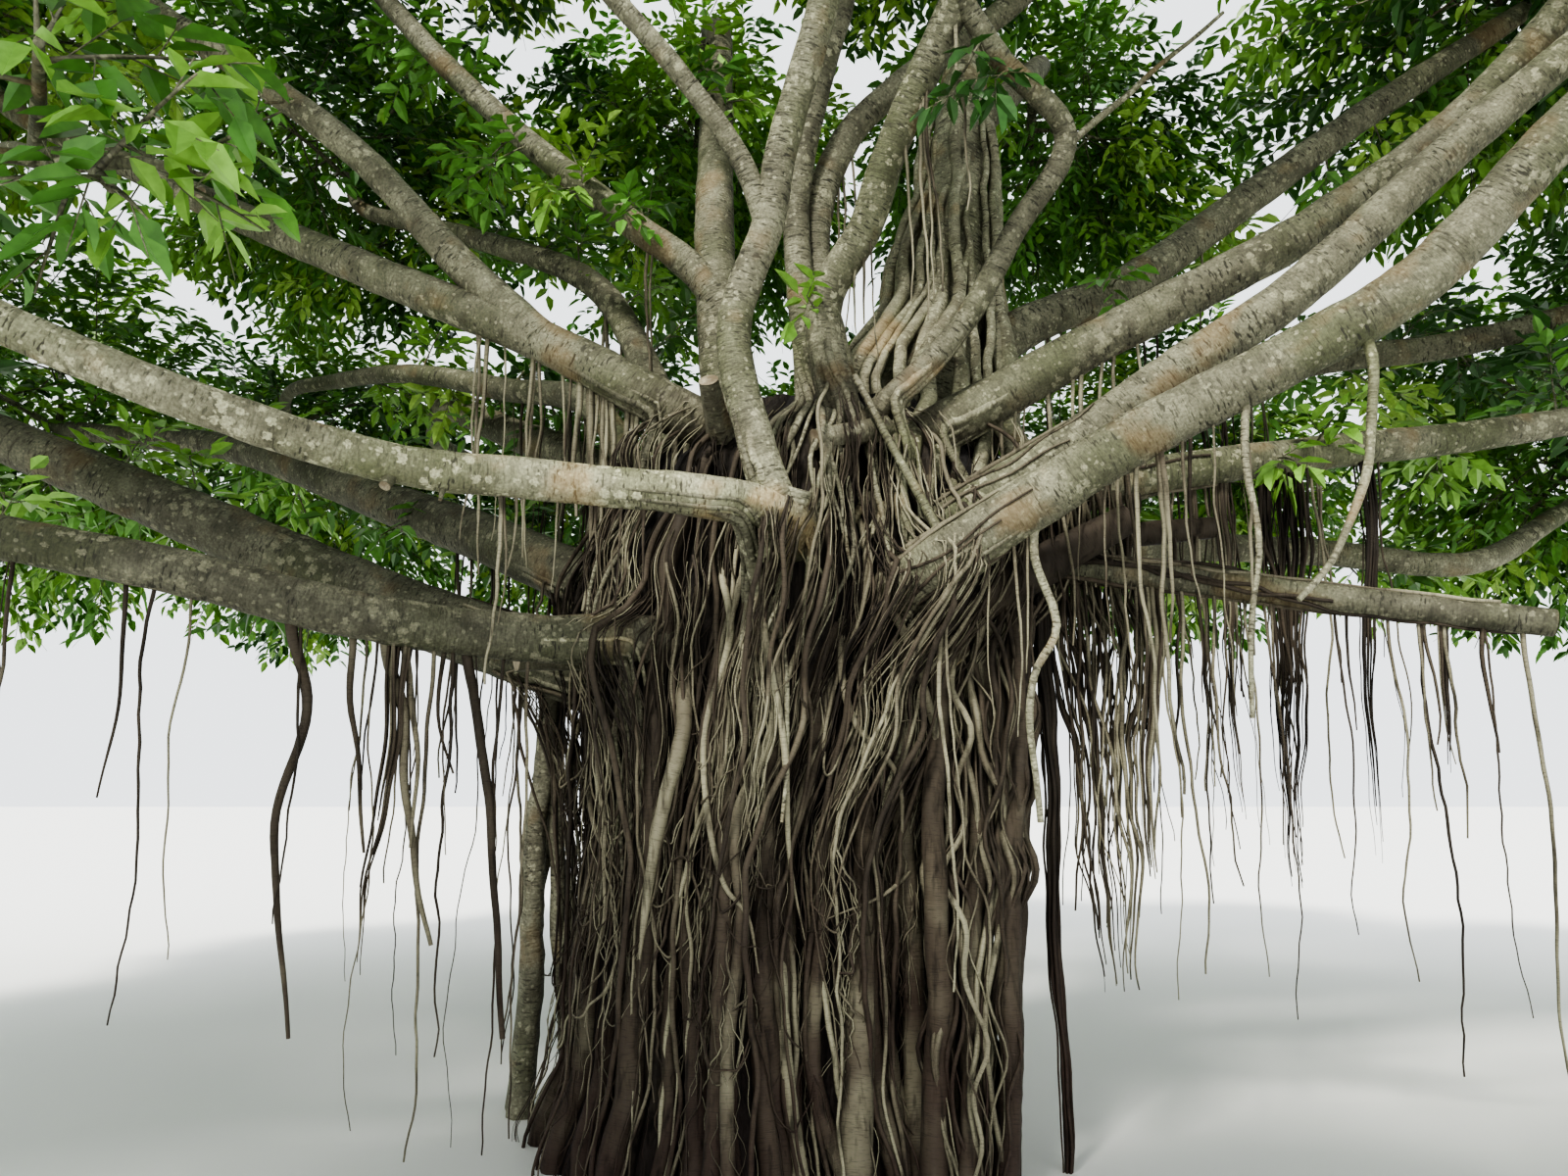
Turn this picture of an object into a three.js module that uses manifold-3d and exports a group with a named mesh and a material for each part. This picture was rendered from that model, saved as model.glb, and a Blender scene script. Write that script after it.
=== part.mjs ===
// A banyan tree: a trunk of fused roots, roots that hang from its boughs or prop them, and a
// broad crown of leafy masses, each mass on the tip of one bough.
// Millimetres, +Z up. The origin is on the flat cut under the trunk, and -Y faces the viewer.
import * as THREE from "three";
import { mergeVertices } from "three/addons/utils/BufferGeometryUtils.js";
import Module from "manifold-3d";

const wasm = await Module();
wasm.setup();

// Driving dimensions.
const GAP = 0.3; // air between two pieces that touch on the real tree
const TRUNK_HEIGHT = 3700;
const TRUNK_SIDES = 36;
const TRUNK_STEPS = 9;
const TRUNK_FLUTES = [
  { count: 8, depth: 0.075, phase: 0.6, twist: 0 },
  { count: 13, depth: 0.045, phase: 2.1, twist: 0.5 },
];
// The trunk's outline: height, then centre and half width along X and along Y.
const TRUNK_STATIONS = [
  { z: 0, x: -210, y: 0, rx: 980, ry: 960 },
  { z: 450, x: -220, y: 0, rx: 840, ry: 860 },
  { z: 1300, x: -200, y: 0, rx: 800, ry: 850 },
  { z: 2000, x: -80, y: 0, rx: 940, ry: 900 },
  { z: 2600, x: 60, y: 0, rx: 1120, ry: 940 },
  { z: 3150, x: 90, y: 20, rx: 960, ry: 820 },
  { z: TRUNK_HEIGHT, x: 170, y: 60, rx: 520, ry: 470 },
];
const ROOT_GROOVE = 0.13; // depth of the grooves between a bundle's strands, as a share of its girth
const ROOT_TWIST = 1.5; // turn of the strands from foot to top, in radians
const ROOT_STEPS = 4;
const LIMB_SIDES = 6;
const LONG_LEG = 1150; // a leg longer than this has a ring in its middle too
const LIMB_HEART = 0.55; // how far a bough's foot is carried back towards the trunk's axis
const HEART_DROP = 260; // how far below its foot a bough's heart lies
const COLLAR = 0.28; // swelling of a limb where it leaves what carries it
const COLLAR_REACH = 260;

// The crown's leafy masses.
const SKIRT = 2500; // no leaf hangs lower
const CELL_MARGIN = 32; // each mass stays this far from the plane between it and the next one
const LIMB_MARGIN = 30;
const BEAD_STEP = 150; // limbs and stems are kept clear of by beads this far apart along them
const STEM_BEADS = 14; // on each stem
const BRANCH_CHECKS = [0.35, 0.5, 0.65, 0.8, 0.9, 1]; // where along a branch its space is tested
const ARC_STEPS = 240; // steps in which a curve's length is measured
const HUB_SHORT = 0.35; // how far short of the centre a stem ends, as a share of the mean reach
const FORKS_BACK = 0.36; // how far back from its end a stem forks, at most, as a share of it
const STEM_BEND = 0.45;
const STEM_SLIM = 0.6;
const STEM_GIRTH = 0.05; // a stem is at most this thick, as a share of the mass's mean reach
const STEM_SIDES = 5;
const BRANCHES = 4;
const BRANCH_REACH = 0.52; // a branch's end, as a share of the way from centre to the mass's skin
const SHARE_STEP = 0.06; // what meets something is shortened by this share and tried again
const LEAST_REACH = 0.22;
const BRANCH_RISE = 0.12; // how far a branch arches up, as a share of its length
const BRANCH_SLIM = 0.46;
const TWIG_TIP = 22;
const TWIG_SIDES = 3;
// Sprays along a branch: where, and how far each turns away from the branch, in radians.
const SPRAYS = [
  { at: 0.96, turn: 0.1 },
  { at: 0.8, turn: 1 },
  { at: 0.55, turn: -1 },
];
// A spray's tip is at this share of the way to the skin; its longest and least lengths are shares
// of the mass's mean reach; width, thickness and waist are shares of its own length.
const SPRAY = { tip: 0.98, longest: 0.95, least: 0.25, width: 0.75, thick: 0.03, waist: 0.5, sunk: 4 };
const SPRAY_DROOP = 0.12; // how far each spray's aim is lowered
const FIRST_SEED = 101;
const GOLDEN_ANGLE = Math.PI * (3 - Math.sqrt(5));

const COLOURS = {
  trunk: 0x6f6456,
  bough: 0x9a9383,
  root: 0x7a6858,
  leaf: 0x4c8a2c,
};

// A limb walks from its foot in legs of [length, azimuth, pitch]. Azimuth 0 is +X and 90 is +Y.
// It leaves the trunk unless "on" names the limb that carries it, "at" a share of that limb.
const LIMBS = [
  { name: "bough_left_front", foot: [-100, -1190, 2780], girth: [94, 56],
    legs: [[950, 192, 5], [600, 200, 1], [700, 206, 11], [650, 204, 18], [1400, 205, 22], [1300, 208, 24]] },
  { name: "bough_left_low", foot: [-620, -720, 2290], girth: [116, 62],
    legs: [[650, 197, 0], [700, 203, 5], [700, 197, 12], [700, 197, 9], [1300, 192, 12], [1500, 176, 22]] },
  { name: "bough_left_low_back", foot: [-900, 100, 2180], girth: [200, 100],
    legs: [[850, 180, 18], [700, 184, 21], [850, 184, 23], [1100, 186, 22], [1100, 184, 20]] },
  { name: "bough_left_mid", foot: [-900, 200, 2640], girth: [175, 72],
    legs: [[1000, 156, 24], [900, 151, 21], [1650, 153, 21], [1500, 157, 12]] },
  { name: "bough_left_high", foot: [-560, -460, 3450], girth: [126, 58],
    legs: [[800, 180, 29], [700, 180, 23], [1200, 169, 26], [1500, 173, 27]] },
  { name: "fork_left_high", on: "bough_left_high", at: 0.29, girth: [88, 52],
    legs: [[600, 186, 44], [700, 186, 47], [600, 192, 36], [700, 192, 31], [900, 205, 30]] },
  { name: "bough_back_left_up", foot: [-240, 420, 3350], girth: [118, 54],
    legs: [[1250, 160, 77], [750, 180, 42], [800, 180, 40], [650, 190, 42], [900, 185, 48]] },
  { name: "bough_back_left_a", foot: [-520, 560, 3200], girth: [118, 60],
    legs: [[1000, 138, 62], [1100, 140, 55], [1100, 155, 29], [1200, 151, 24]] },
  { name: "bough_back_left_b", foot: [-700, 480, 3050], girth: [100, 56],
    legs: [[1100, 150, 55], [900, 143, 20], [1100, 146, 18], [1400, 141, 10]] },
  { name: "bough_back_left_c", foot: [-560, 680, 2880], girth: [150, 80],
    legs: [[1150, 146, 42], [1050, 140, 26], [1050, 134, 24], [1200, 112, 8]] },
  { name: "bough_back_centre", foot: [60, 760, 2850], girth: [165, 80],
    legs: [[1200, 96, 34], [1300, 90, 26], [1400, 84, 14], [1000, 82, 8]] },
  { name: "bough_back_right", foot: [620, 640, 2820], girth: [155, 78],
    legs: [[1200, 52, 32], [1300, 56, 26], [1400, 60, 18], [800, 58, 12]] },
  { name: "bough_front_crook", foot: [-80, -1170, 2760], girth: [84, 48],
    legs: [[390, 201, 69], [490, 180, 80], [490, 342, 71], [320, 317, 77], [420, 320, 68],
      [320, 309, 66], [1400, 278, 48], [1300, 262, 26], [700, 262, 6]] },
  { name: "fork_front_thin", on: "bough_front_crook", at: 0.31, girth: [44, 34],
    legs: [[330, 205, 66], [430, 210, 46], [600, 207, 41], [1500, 222, 38], [1500, 240, 24], [500, 240, 8]] },
  { name: "bough_up_back", foot: [-300, 500, 3480], girth: [165, 70],
    legs: [[1210, 155, 80], [1100, 98, 79], [900, 90, 76], [900, 98, 42]] },
  { name: "bough_up_right", foot: [230, -560, 3300], girth: [94, 50],
    legs: [[650, 220, 76], [450, 330, 58], [350, 315, 64], [750, 315, 55],
      [1300, 302, 40], [1300, 294, 22], [800, 292, 4]] },
  { name: "bough_up_right_b", foot: [220, -240, 3500], girth: [98, 50],
    legs: [[1050, 200, 82], [550, 356, 72], [380, 349, 45], [850, 348, 34], [1000, 350, 52]] },
  { name: "bough_up_mid", foot: [90, -330, 3480], girth: [80, 48],
    legs: [[1150, 210, 84], [750, 322, 76], [450, 315, 69], [1300, 262, 58]] },
  { name: "leader", foot: [560, 200, 3150], girth: [400, 70],
    legs: [[600, 50, 72], [850, 28, 76], [900, 39, 80], [1300, 60, 80]] },
  { name: "bough_elbow", foot: [330, -700, 3360], girth: [60, 46],
    legs: [[580, 353, 45], [560, 340, 58], [500, 336, 59], [520, 204, 41], [900, 215, 50], [1300, 235, 64]] },
  { name: "fork_back_up", on: "leader", at: 0.72, girth: [92, 56],
    legs: [[600, 20, 46], [800, 60, 42], [1000, 78, 30]] },
  { name: "bough_right_front", foot: [520, -960, 2560], girth: [130, 76],
    legs: [[550, 341, 30], [600, 342, 29], [500, 335, 22], [600, 337, 26],
      [900, 332, 42], [1200, 325, 28], [700, 320, 18]] },
  { name: "bough_right_front_b", foot: [600, -740, 2800], girth: [120, 70],
    legs: [[700, 347, 30], [650, 349, 34], [500, 346, 31], [1150, 346, 40], [1500, 340, 36]] },
  { name: "bough_right_high", foot: [570, -480, 3310], girth: [126, 72],
    legs: [[700, 350, 28], [500, 346, 26], [900, 346, 25], [850, 343, 34], [1150, 336, 46]] },
  { name: "bough_right_mid", foot: [700, 330, 3150], girth: [150, 68],
    legs: [[1140, 8, 65], [860, 0, 27], [910, 0, 36], [940, 353, 35], [850, 352, 32]] },
  { name: "bough_right_low", foot: [880, -420, 2960], girth: [112, 62],
    legs: [[900, 3, 14], [800, 4, 9], [1200, 4, 8], [1500, 355, 10]] },
  { name: "bough_right_far", foot: [780, 380, 3020], girth: [118, 62],
    legs: [[1900, 17, 28], [750, 351, 23], [800, 345, 3], [650, 341, 8], [900, 345, 18]] },
  { name: "bough_right_cut", foot: [860, -440, 2700], girth: [74, 58],
    legs: [[800, 342, -6], [850, 340, -12], [750, 342, -10]] },
  { name: "bough_right_back_low", foot: [820, 420, 2760], girth: [120, 64],
    legs: [[1100, 30, 18], [1700, 13, 2], [900, 354, -6], [1000, 20, 24]] },
];

// Each mass of leaves: its name, the limb that feeds it, its centre, its half widths, and where along
// the limb it grows: at the tip unless a share of the limb's length is given.
const massRow = (name, limb, centre, reach, at = 1) => ({ name, limb, centre, reach, at });
const MASSES = [
  massRow("leaves_left_front", "bough_left_front", [-6100, -3900, 5000], [2100, 2050, 1700]),
  massRow("leaves_left", "bough_left_low_back", [-6850, -350, 4600], [2000, 2250, 1950]),
  massRow("leaves_left_back", "bough_left_mid", [-6500, 3150, 4700], [2050, 2100, 2000]),
  massRow("leaves_back_left", "bough_back_left_b", [-4850, 5550, 4850], [2000, 2000, 2100]),
  massRow("leaves_back_a", "bough_back_left_c", [-2150, 6550, 4850], [2000, 1900, 2150]),
  massRow("leaves_back_b", "bough_back_centre", [950, 6800, 4900], [2000, 1900, 2150]),
  massRow("leaves_back_right", "bough_back_right", [4000, 5800, 4900], [2050, 2000, 2050]),
  massRow("leaves_right_back", "bough_right_back_low", [6450, 3150, 4600], [2050, 2100, 2000]),
  massRow("leaves_right", "bough_right_low", [7000, -450, 4650], [2000, 2200, 1900]),
  massRow("leaves_right_front", "bough_right_front", [5650, -4000, 5400], [2100, 2050, 1650]),
  massRow("leaves_front_right", "bough_up_right", [2900, -6000, 5800], [2050, 1950, 1550]),
  massRow("leaves_front", "bough_front_crook", [-350, -6500, 5850], [2000, 1850, 1550]),
  massRow("leaves_front_left", "fork_front_thin", [-3500, -5900, 5650], [2050, 1950, 1600]),
  massRow("leaves_upper_left", "bough_left_high", [-5300, 100, 6850], [2000, 2100, 1700]),
  massRow("leaves_upper_left_front", "fork_left_high", [-4250, -2950, 7050], [2050, 2000, 1600]),
  massRow("leaves_upper_back_left", "bough_back_left_a", [-4000, 3300, 7150], [2050, 2050, 1750]),
  massRow("leaves_upper_back", "bough_up_back", [-950, 4200, 7450], [2050, 2050, 1750]),
  massRow("leaves_upper_back_right", "fork_back_up", [2200, 3900, 7350], [2050, 2050, 1750]),
  massRow("leaves_upper_right", "bough_right_mid", [4950, 1150, 6950], [2050, 2100, 1650]),
  massRow("leaves_upper_right_front", "bough_right_high", [4400, -2100, 7150], [2050, 2050, 1650]),
  massRow("leaves_top_left", "bough_back_left_up", [-2450, 600, 8450], [2200, 2200, 1500]),
  massRow("leaves_top", "leader", [1200, 1500, 8800], [2200, 2150, 1450]),
  massRow("leaves_top_front", "bough_up_mid", [700, -2100, 8400], [2400, 2150, 1500]),
  massRow("leaves_near_left", "bough_left_front", [-1680, -3500, 3030], [560, 450, 380], 0.6),
];

// Roots that stand on the ground or hang free, some of them bundles of several strands: top and
// foot, then half widths along X and along Y at both.
const ROOTS = [
  { name: "root_column_right", top: [830, -620, 2480], foot: [700, -790, 0],
    wide: [270, 215], deep: [250, 205], strands: 6 },
  { name: "prop_root_left", top: [-1330, 120, 2310], foot: [-1470, 420, 0],
    wide: [92, 125], deep: [88, 115], strands: 3 },
  { name: "prop_root_right", top: [1140, -540, 2660], foot: [1150, -520, 0],
    wide: [52, 46], deep: [48, 46], strands: 2 },
  { name: "hanging_roots_left", top: [-1690, -1110, 2330], foot: [-1780, -1080, 900],
    wide: [62, 26], deep: [40, 22], strands: 3 },
  { name: "hanging_roots_curtain", top: [1400, -460, 3060], foot: [1390, -640, 760],
    wide: [280, 110], deep: [85, 60], strands: 7 },
  { name: "hanging_roots_right", top: [2420, -330, 3270], foot: [2330, -330, 1180],
    wide: [150, 70], deep: [80, 55], strands: 5 },
];

// A small repeatable random source, 0 to 1.
function randomFrom(seed) {
  let state = seed >>> 0;
  return () => {
    state = (state + 0x6d2b79f5) >>> 0;
    let t = state;
    t = Math.imul(t ^ (t >>> 15), t | 1);
    t ^= t + Math.imul(t ^ (t >>> 7), t | 61);
    return ((t ^ (t >>> 14)) >>> 0) / 4294967296;
  };
}

const vec = (a) => new THREE.Vector3(...a);
const mix = (a, b, t) => a + (b - a) * t;
const lerp = (p, q, t) => p.clone().lerp(q, t);
const smooth = (t) => t * t * (3 - 2 * t);

function heading(azimuth, pitch) {
  const a = THREE.MathUtils.degToRad(azimuth);
  const e = THREE.MathUtils.degToRad(pitch);
  return new THREE.Vector3(Math.cos(a) * Math.cos(e), Math.sin(a) * Math.cos(e), Math.sin(e));
}

const evenStops = (count) => Array.from({ length: count + 1 }, (_, i) => i / count);

// A closed geometry becomes a solid that can be joined and cut.
function solidOf(geometry) {
  const bare = geometry.clone();
  bare.deleteAttribute("normal");
  bare.deleteAttribute("uv");
  const merged = mergeVertices(bare, 1e-3);
  return new wasm.Manifold(
    new wasm.Mesh({
      numProp: 3,
      vertProperties: merged.attributes.position.array,
      triVerts: new Uint32Array(merged.index.array),
    }),
  );
}

function geometryOf(solid) {
  const mesh = solid.getMesh();
  const positions = new Float32Array(mesh.numVert * 3);
  for (let i = 0; i < mesh.numVert; i++) {
    positions.set(mesh.vertProperties.subarray(i * mesh.numProp, i * mesh.numProp + 3), i * 3);
  }
  return new THREE.BufferGeometry()
    .setAttribute("position", new THREE.BufferAttribute(positions, 3))
    .setIndex(new THREE.BufferAttribute(mesh.triVerts, 1));
}

// The largest single body: loose scraps and the skins of sealed hollows are dropped.
function wholeBody(solid) {
  return solid.decompose().reduce((best, body) => (body.volume() > best.volume() ? body : best));
}

// How far along a curve its parameter t lies, as a share of its length.
function arcShare(curve, t) {
  const lengths = curve.getLengths(ARC_STEPS);
  return lengths[Math.round(t * ARC_STEPS)] / lengths[ARC_STEPS];
}

// A tube with a ring at each stop along a curve. radiusAt takes a share of the curve's length, and
// outset grows the tube all round.
function tube(curve, radiusAt, sides, stops, outset = 0) {
  const last = stops.length - 1;
  const geometry = new THREE.CylinderGeometry(1, 1, 1, sides, last);
  const rings = [];
  let normal = new THREE.Vector3(0.3, 0.2, 1);
  for (const [i, t] of stops.entries()) {
    const along = curve.getTangent(t);
    normal = normal.clone().addScaledVector(along, -normal.dot(along)).normalize();
    const cap = i === last ? outset : i === 0 ? -outset : 0;
    const centre = curve.getPoint(t).addScaledVector(along, cap);
    const radius = radiusAt(arcShare(curve, t)) + outset;
    rings.push({ centre, normal, across: along.cross(normal), radius });
  }
  const position = geometry.attributes.position;
  for (let i = 0; i < position.count; i++) {
    const ring = rings[Math.round((position.getY(i) + 0.5) * last)];
    const p = ring.centre
      .clone()
      .addScaledVector(ring.normal, position.getX(i) * ring.radius)
      .addScaledVector(ring.across, -position.getZ(i) * ring.radius);
    position.setXYZ(i, p.x, p.y, p.z);
  }
  return solidOf(geometry);
}

// The outline at a height, between the two stations around it.
function stationAt(stations, z) {
  const next = Math.max(1, stations.findIndex((s) => s.z >= z));
  const low = stations[next - 1];
  const high = stations[next];
  const t = smooth((z - low.z) / (high.z - low.z));
  return Object.fromEntries(["x", "y", "rx", "ry"].map((key) => [key, mix(low[key], high[key], t)]));
}

// An upright solid of level rings, fluted all round, with an outset on every side.
function column(stations, flutes, sides, steps, outset) {
  const geometry = new THREE.CylinderGeometry(1, 1, 1, sides, steps);
  const position = geometry.attributes.position;
  const bottom = stations[0].z;
  const top = stations.at(-1).z;
  for (let i = 0; i < position.count; i++) {
    const share = position.getY(i) + 0.5;
    const x = position.getX(i);
    const y = -position.getZ(i);
    const angle = Math.atan2(y, x);
    const z = mix(bottom, top, share);
    const s = stationAt(stations, z);
    let flute = 1;
    for (const f of flutes) flute += f.depth * Math.cos(f.count * angle + f.phase + f.twist * share);
    const rim = Math.hypot(x, y);
    const step = Math.round(share * steps);
    const cap = step === steps ? outset : step === 0 ? -outset : 0;
    position.setXYZ(
      i,
      s.x + rim * Math.cos(angle) * (s.rx * flute + outset),
      s.y + rim * Math.sin(angle) * (s.ry * flute + outset),
      z + cap,
    );
  }
  return solidOf(geometry);
}

const trunkSolid = (outset) => column(TRUNK_STATIONS, TRUNK_FLUTES, TRUNK_SIDES, TRUNK_STEPS, outset);

// A root or a bundle of them, grooved between its strands, from its foot up into what carries it.
function rootSolid(root, outset) {
  const stations = [root.foot, root.top].map(([x, y, z], i) => ({
    x, y, z, rx: root.wide[1 - i], ry: root.deep[1 - i],
  }));
  const flutes = [{ count: root.strands, depth: ROOT_GROOVE, phase: root.strands, twist: ROOT_TWIST }];
  return column(stations, flutes, root.strands * 2 + 2, ROOT_STEPS, outset);
}

// A limb's centre line: out of the trunk's heart, or off the limb that carries it.
function limbCurve(limb, limbs) {
  const points = [];
  if (limb.on) {
    points.push(limbs.get(limb.on).curve.getPointAt(limb.at));
  } else {
    const foot = vec(limb.foot);
    const s = stationAt(TRUNK_STATIONS, Math.min(foot.z, TRUNK_HEIGHT));
    const heart = new THREE.Vector3(s.x, s.y, foot.z - HEART_DROP);
    points.push(lerp(foot, heart, LIMB_HEART), foot);
  }
  for (const [length, azimuth, pitch] of limb.legs) {
    points.push(points.at(-1).clone().addScaledVector(heading(azimuth, pitch), length));
  }
  return new THREE.CatmullRomCurve3(points, false, "centripetal");
}

function limbRadius(limb, length, t) {
  const swell = COLLAR * Math.exp(-(t * length) / COLLAR_REACH);
  return mix(limb.girth[0], limb.girth[1], t) * (1 + swell);
}

function limbSolid(limb, curve, outset) {
  const length = curve.getLength();
  const points = curve.points;
  const stops = [];
  for (let i = 0; i < points.length - 1; i++) {
    stops.push(i / (points.length - 1));
    if (points[i].distanceTo(points[i + 1]) > LONG_LEG) stops.push((i + 0.5) / (points.length - 1));
  }
  return tube(curve, (share) => limbRadius(limb, length, share), LIMB_SIDES, [...stops, 1], outset);
}

// Cuts a piece clear of the pieces already made, which are given a little outset.
function clearOf(solid, outsets) {
  let left = solid;
  for (const other of outsets) left = left.subtract(other);
  return wholeBody(left);
}

const touches = (a, b) => [0, 1, 2].every((i) => a.min[i] < b.max[i] && b.min[i] < a.max[i]);

// Everything that a mass has to stay clear of, as points with a half thickness.
function beads(curve, radiusAt, count, owner) {
  return Array.from({ length: count + 1 }, (_, i) => ({
    p: curve.getPointAt(i / count),
    r: radiusAt(i / count),
    owner,
  }));
}

const meanReach = (mass) => (mass.reach[0] + mass.reach[1] + mass.reach[2]) / 3;

// True where a point is in a mass's own space: its ellipsoid, on its side of every neighbour.
function inSpace(p, mass, margin) {
  if (p.z < SKIRT + margin) return false;
  const [x, y, z] = ["x", "y", "z"].map((k, i) => (p[k] - mass.centre[i]) / (mass.reach[i] - margin));
  if (x * x + y * y + z * z > 1) return false;
  const centre = vec(mass.centre);
  return MASSES.every((other) => {
    if (other === mass) return true;
    const away = vec(other.centre).sub(centre);
    const half = away.length() / 2;
    return p.clone().sub(centre).dot(away.normalize()) < half - margin;
  });
}

function clearOfLimbs(p, radius, obstacles, owner) {
  return obstacles.every((o) => o.owner === owner || o.p.distanceTo(p) > o.r + radius + LIMB_MARGIN);
}

// A mass's stem runs on from its bough's tip, 0.3 mm clear of it, or leaves the bough's side.
function stemCurve(mass, limb) {
  const atTip = mass.at === 1;
  const along = limb.curve.getTangentAt(mass.at);
  const start = limb.curve.getPointAt(mass.at).addScaledVector(along, atTip ? GAP : 0);
  const centre = vec(mass.centre);
  const hub = lerp(centre, start, (HUB_SHORT * meanReach(mass)) / centre.distanceTo(start));
  const lead = atTip ? along : new THREE.Vector3(0, 0, 1);
  const bend = start.clone().addScaledVector(lead, start.distanceTo(hub) * STEM_BEND);
  return new THREE.QuadraticBezierCurve3(start, bend, hub);
}

// A point on the way from a mass's centre to its skin, drawn in until it lies in the mass's space.
function drawIn(mass, skin, share, least, fits) {
  for (let reach = share; reach > least; reach -= SHARE_STEP) {
    const end = vec(mass.centre).addScaledVector(skin, reach);
    if (inSpace(end, mass, CELL_MARGIN) && fits(end)) return end;
  }
  return null;
}

// A point on the two straight stretches that a branch is drawn with.
function onChords(curve, t) {
  const middle = curve.getPoint(0.5);
  return t < 0.5 ? lerp(curve.getPoint(0), middle, t * 2) : lerp(middle, curve.getPoint(1), t * 2 - 1);
}

// One branch of a mass, which keeps to the mass's space and clears the limbs, or nothing.
function growBranch(mass, root, skin, thick, obstacles) {
  const arc = (end) => {
    const middle = lerp(root, end, 0.5);
    middle.z += root.distanceTo(end) * BRANCH_RISE;
    return new THREE.QuadraticBezierCurve3(root, middle, end);
  };
  const end = drawIn(mass, skin, BRANCH_REACH, LEAST_REACH, (p) =>
    BRANCH_CHECKS.every((t) => {
      const on = arc(p).getPoint(t);
      return inSpace(on, mass, CELL_MARGIN) && clearOfLimbs(on, thick, obstacles, mass.name);
    }),
  );
  return end && arc(end);
}

// A direction to the skin of a mass's ellipsoid.
const skinOf = (mass, direction) => direction.clone().multiply(vec(mass.reach));

// The branches of a mass and the sprays of leaves on them, worked out by one seeded rule.
function growMass(mass, index, stem, stemRadius, obstacles) {
  const random = randomFrom(FIRST_SEED + index);
  const turn = random() * Math.PI * 2;
  const forksBack = Math.min(FORKS_BACK, (HUB_SHORT * meanReach(mass)) / stem.getLength());
  const branches = [];
  for (let i = 0; i < BRANCHES; i++) {
    const up = 1 - (2 * (i + 0.5)) / BRANCHES;
    const round = Math.sqrt(1 - up * up);
    const angle = turn + i * GOLDEN_ANGLE;
    const direction = new THREE.Vector3(Math.cos(angle) * round, Math.sin(angle) * round, up);
    const hingeTurn = random() * Math.PI * 2;
    const from = 1 - forksBack * (1 - ((i * 3) % BRANCHES) / (BRANCHES - 1));
    const thick = Math.max(mix(stemRadius, stemRadius * STEM_SLIM, from) * BRANCH_SLIM, TWIG_TIP);
    const curve = growBranch(mass, onChords(stem, from), skinOf(mass, direction), thick, obstacles);
    if (!curve) continue;
    const level = new THREE.Vector3(0, 0, 1).cross(direction).normalize();
    const hinge = level.applyAxisAngle(direction, hingeTurn);
    const sprays = SPRAYS.map((place) => {
      const aim = direction.clone().applyAxisAngle(hinge, place.turn);
      aim.z -= SPRAY_DROOP;
      const skin = skinOf(mass, aim.normalize());
      return fitSpray(onChords(curve, place.at), skin, hinge, mass, obstacles);
    });
    branches.push({ curve, thick, sprays: sprays.filter(Boolean) });
  }
  return branches;
}

// A spray from its base out to the mass's skin, as large as keeps to the mass's space and clears
// the limbs, or nothing.
function fitSpray(base, skin, hinge, mass, obstacles) {
  const longest = meanReach(mass) * SPRAY.longest;
  let found = null;
  drawIn(mass, skin, SPRAY.tip, SPRAY.least, (end) => {
    const aim = end.clone().sub(base);
    const length = Math.min(aim.length(), longest);
    aim.normalize();
    const wide = hinge.clone().addScaledVector(aim, -hinge.dot(aim)).normalize();
    const at = (t, across) =>
      base
        .clone()
        .addScaledVector(aim, length * t)
        .addScaledVector(wide, (SPRAY.width / 2) * length * across);
    const rim = [at(SPRAY.waist, 1), at(SPRAY.waist, -1), at(1, 0)];
    const core = [at(0.3, 0), at(SPRAY.waist, 0.4), at(SPRAY.waist, -0.4), at(0.7, 0), at(1, 0)];
    const fits =
      length > meanReach(mass) * SPRAY.least &&
      rim.every((p) => inSpace(p, mass, CELL_MARGIN)) &&
      core.every((p) => clearOfLimbs(p, SPRAY.width * 0.25 * length, obstacles, mass.name));
    if (fits) found = { base, along: aim, wide, length };
    return fits;
  });
  return found;
}

// A spray of leaves as one thin blade of eight faces, its root sunk in the twig.
function spraySolid(spray) {
  const blade = new THREE.OctahedronGeometry(1, 0);
  const position = blade.attributes.position;
  const thin = spray.along.clone().cross(spray.wide);
  for (let i = 0; i < position.count; i++) {
    const end = position.getX(i);
    const tipRun = end > 0 ? spray.length : -SPRAY.sunk;
    const run = Math.abs(end) > 0.5 ? tipRun : spray.length * SPRAY.waist;
    const p = spray.base
      .clone()
      .addScaledVector(spray.along, run)
      .addScaledVector(spray.wide, (position.getY(i) * SPRAY.width * spray.length) / 2)
      .addScaledVector(thin, (position.getZ(i) * SPRAY.thick * spray.length) / 2);
    position.setXYZ(i, p.x, p.y, p.z);
  }
  return solidOf(blade);
}

function massSolid(stem, stemRadius, branches) {
  let solid = tube(stem, (t) => mix(stemRadius, stemRadius * STEM_SLIM, t), STEM_SIDES, evenStops(2));
  for (const branch of branches) {
    const radiusAt = (t) => mix(branch.thick, TWIG_TIP, t);
    solid = solid.add(tube(branch.curve, radiusAt, TWIG_SIDES, evenStops(2)));
    for (const spray of branch.sprays) solid = solid.add(spraySolid(spray));
  }
  return solid;
}

function meshOf(name, solid, colour, roughness) {
  const material = new THREE.MeshStandardMaterial({ color: colour, roughness, metalness: 0 });
  const mesh = new THREE.Mesh(geometryOf(solid), material);
  mesh.name = name;
  return mesh;
}

const tree = new THREE.Group();
tree.name = "banyan";
const made = []; // outset copies of what is made, with their boxes, for the pieces that follow
const limbs = new Map();

const nearby = (solid) => made.filter((m) => touches(m.box, solid.boundingBox())).map((m) => m.outset);

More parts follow.
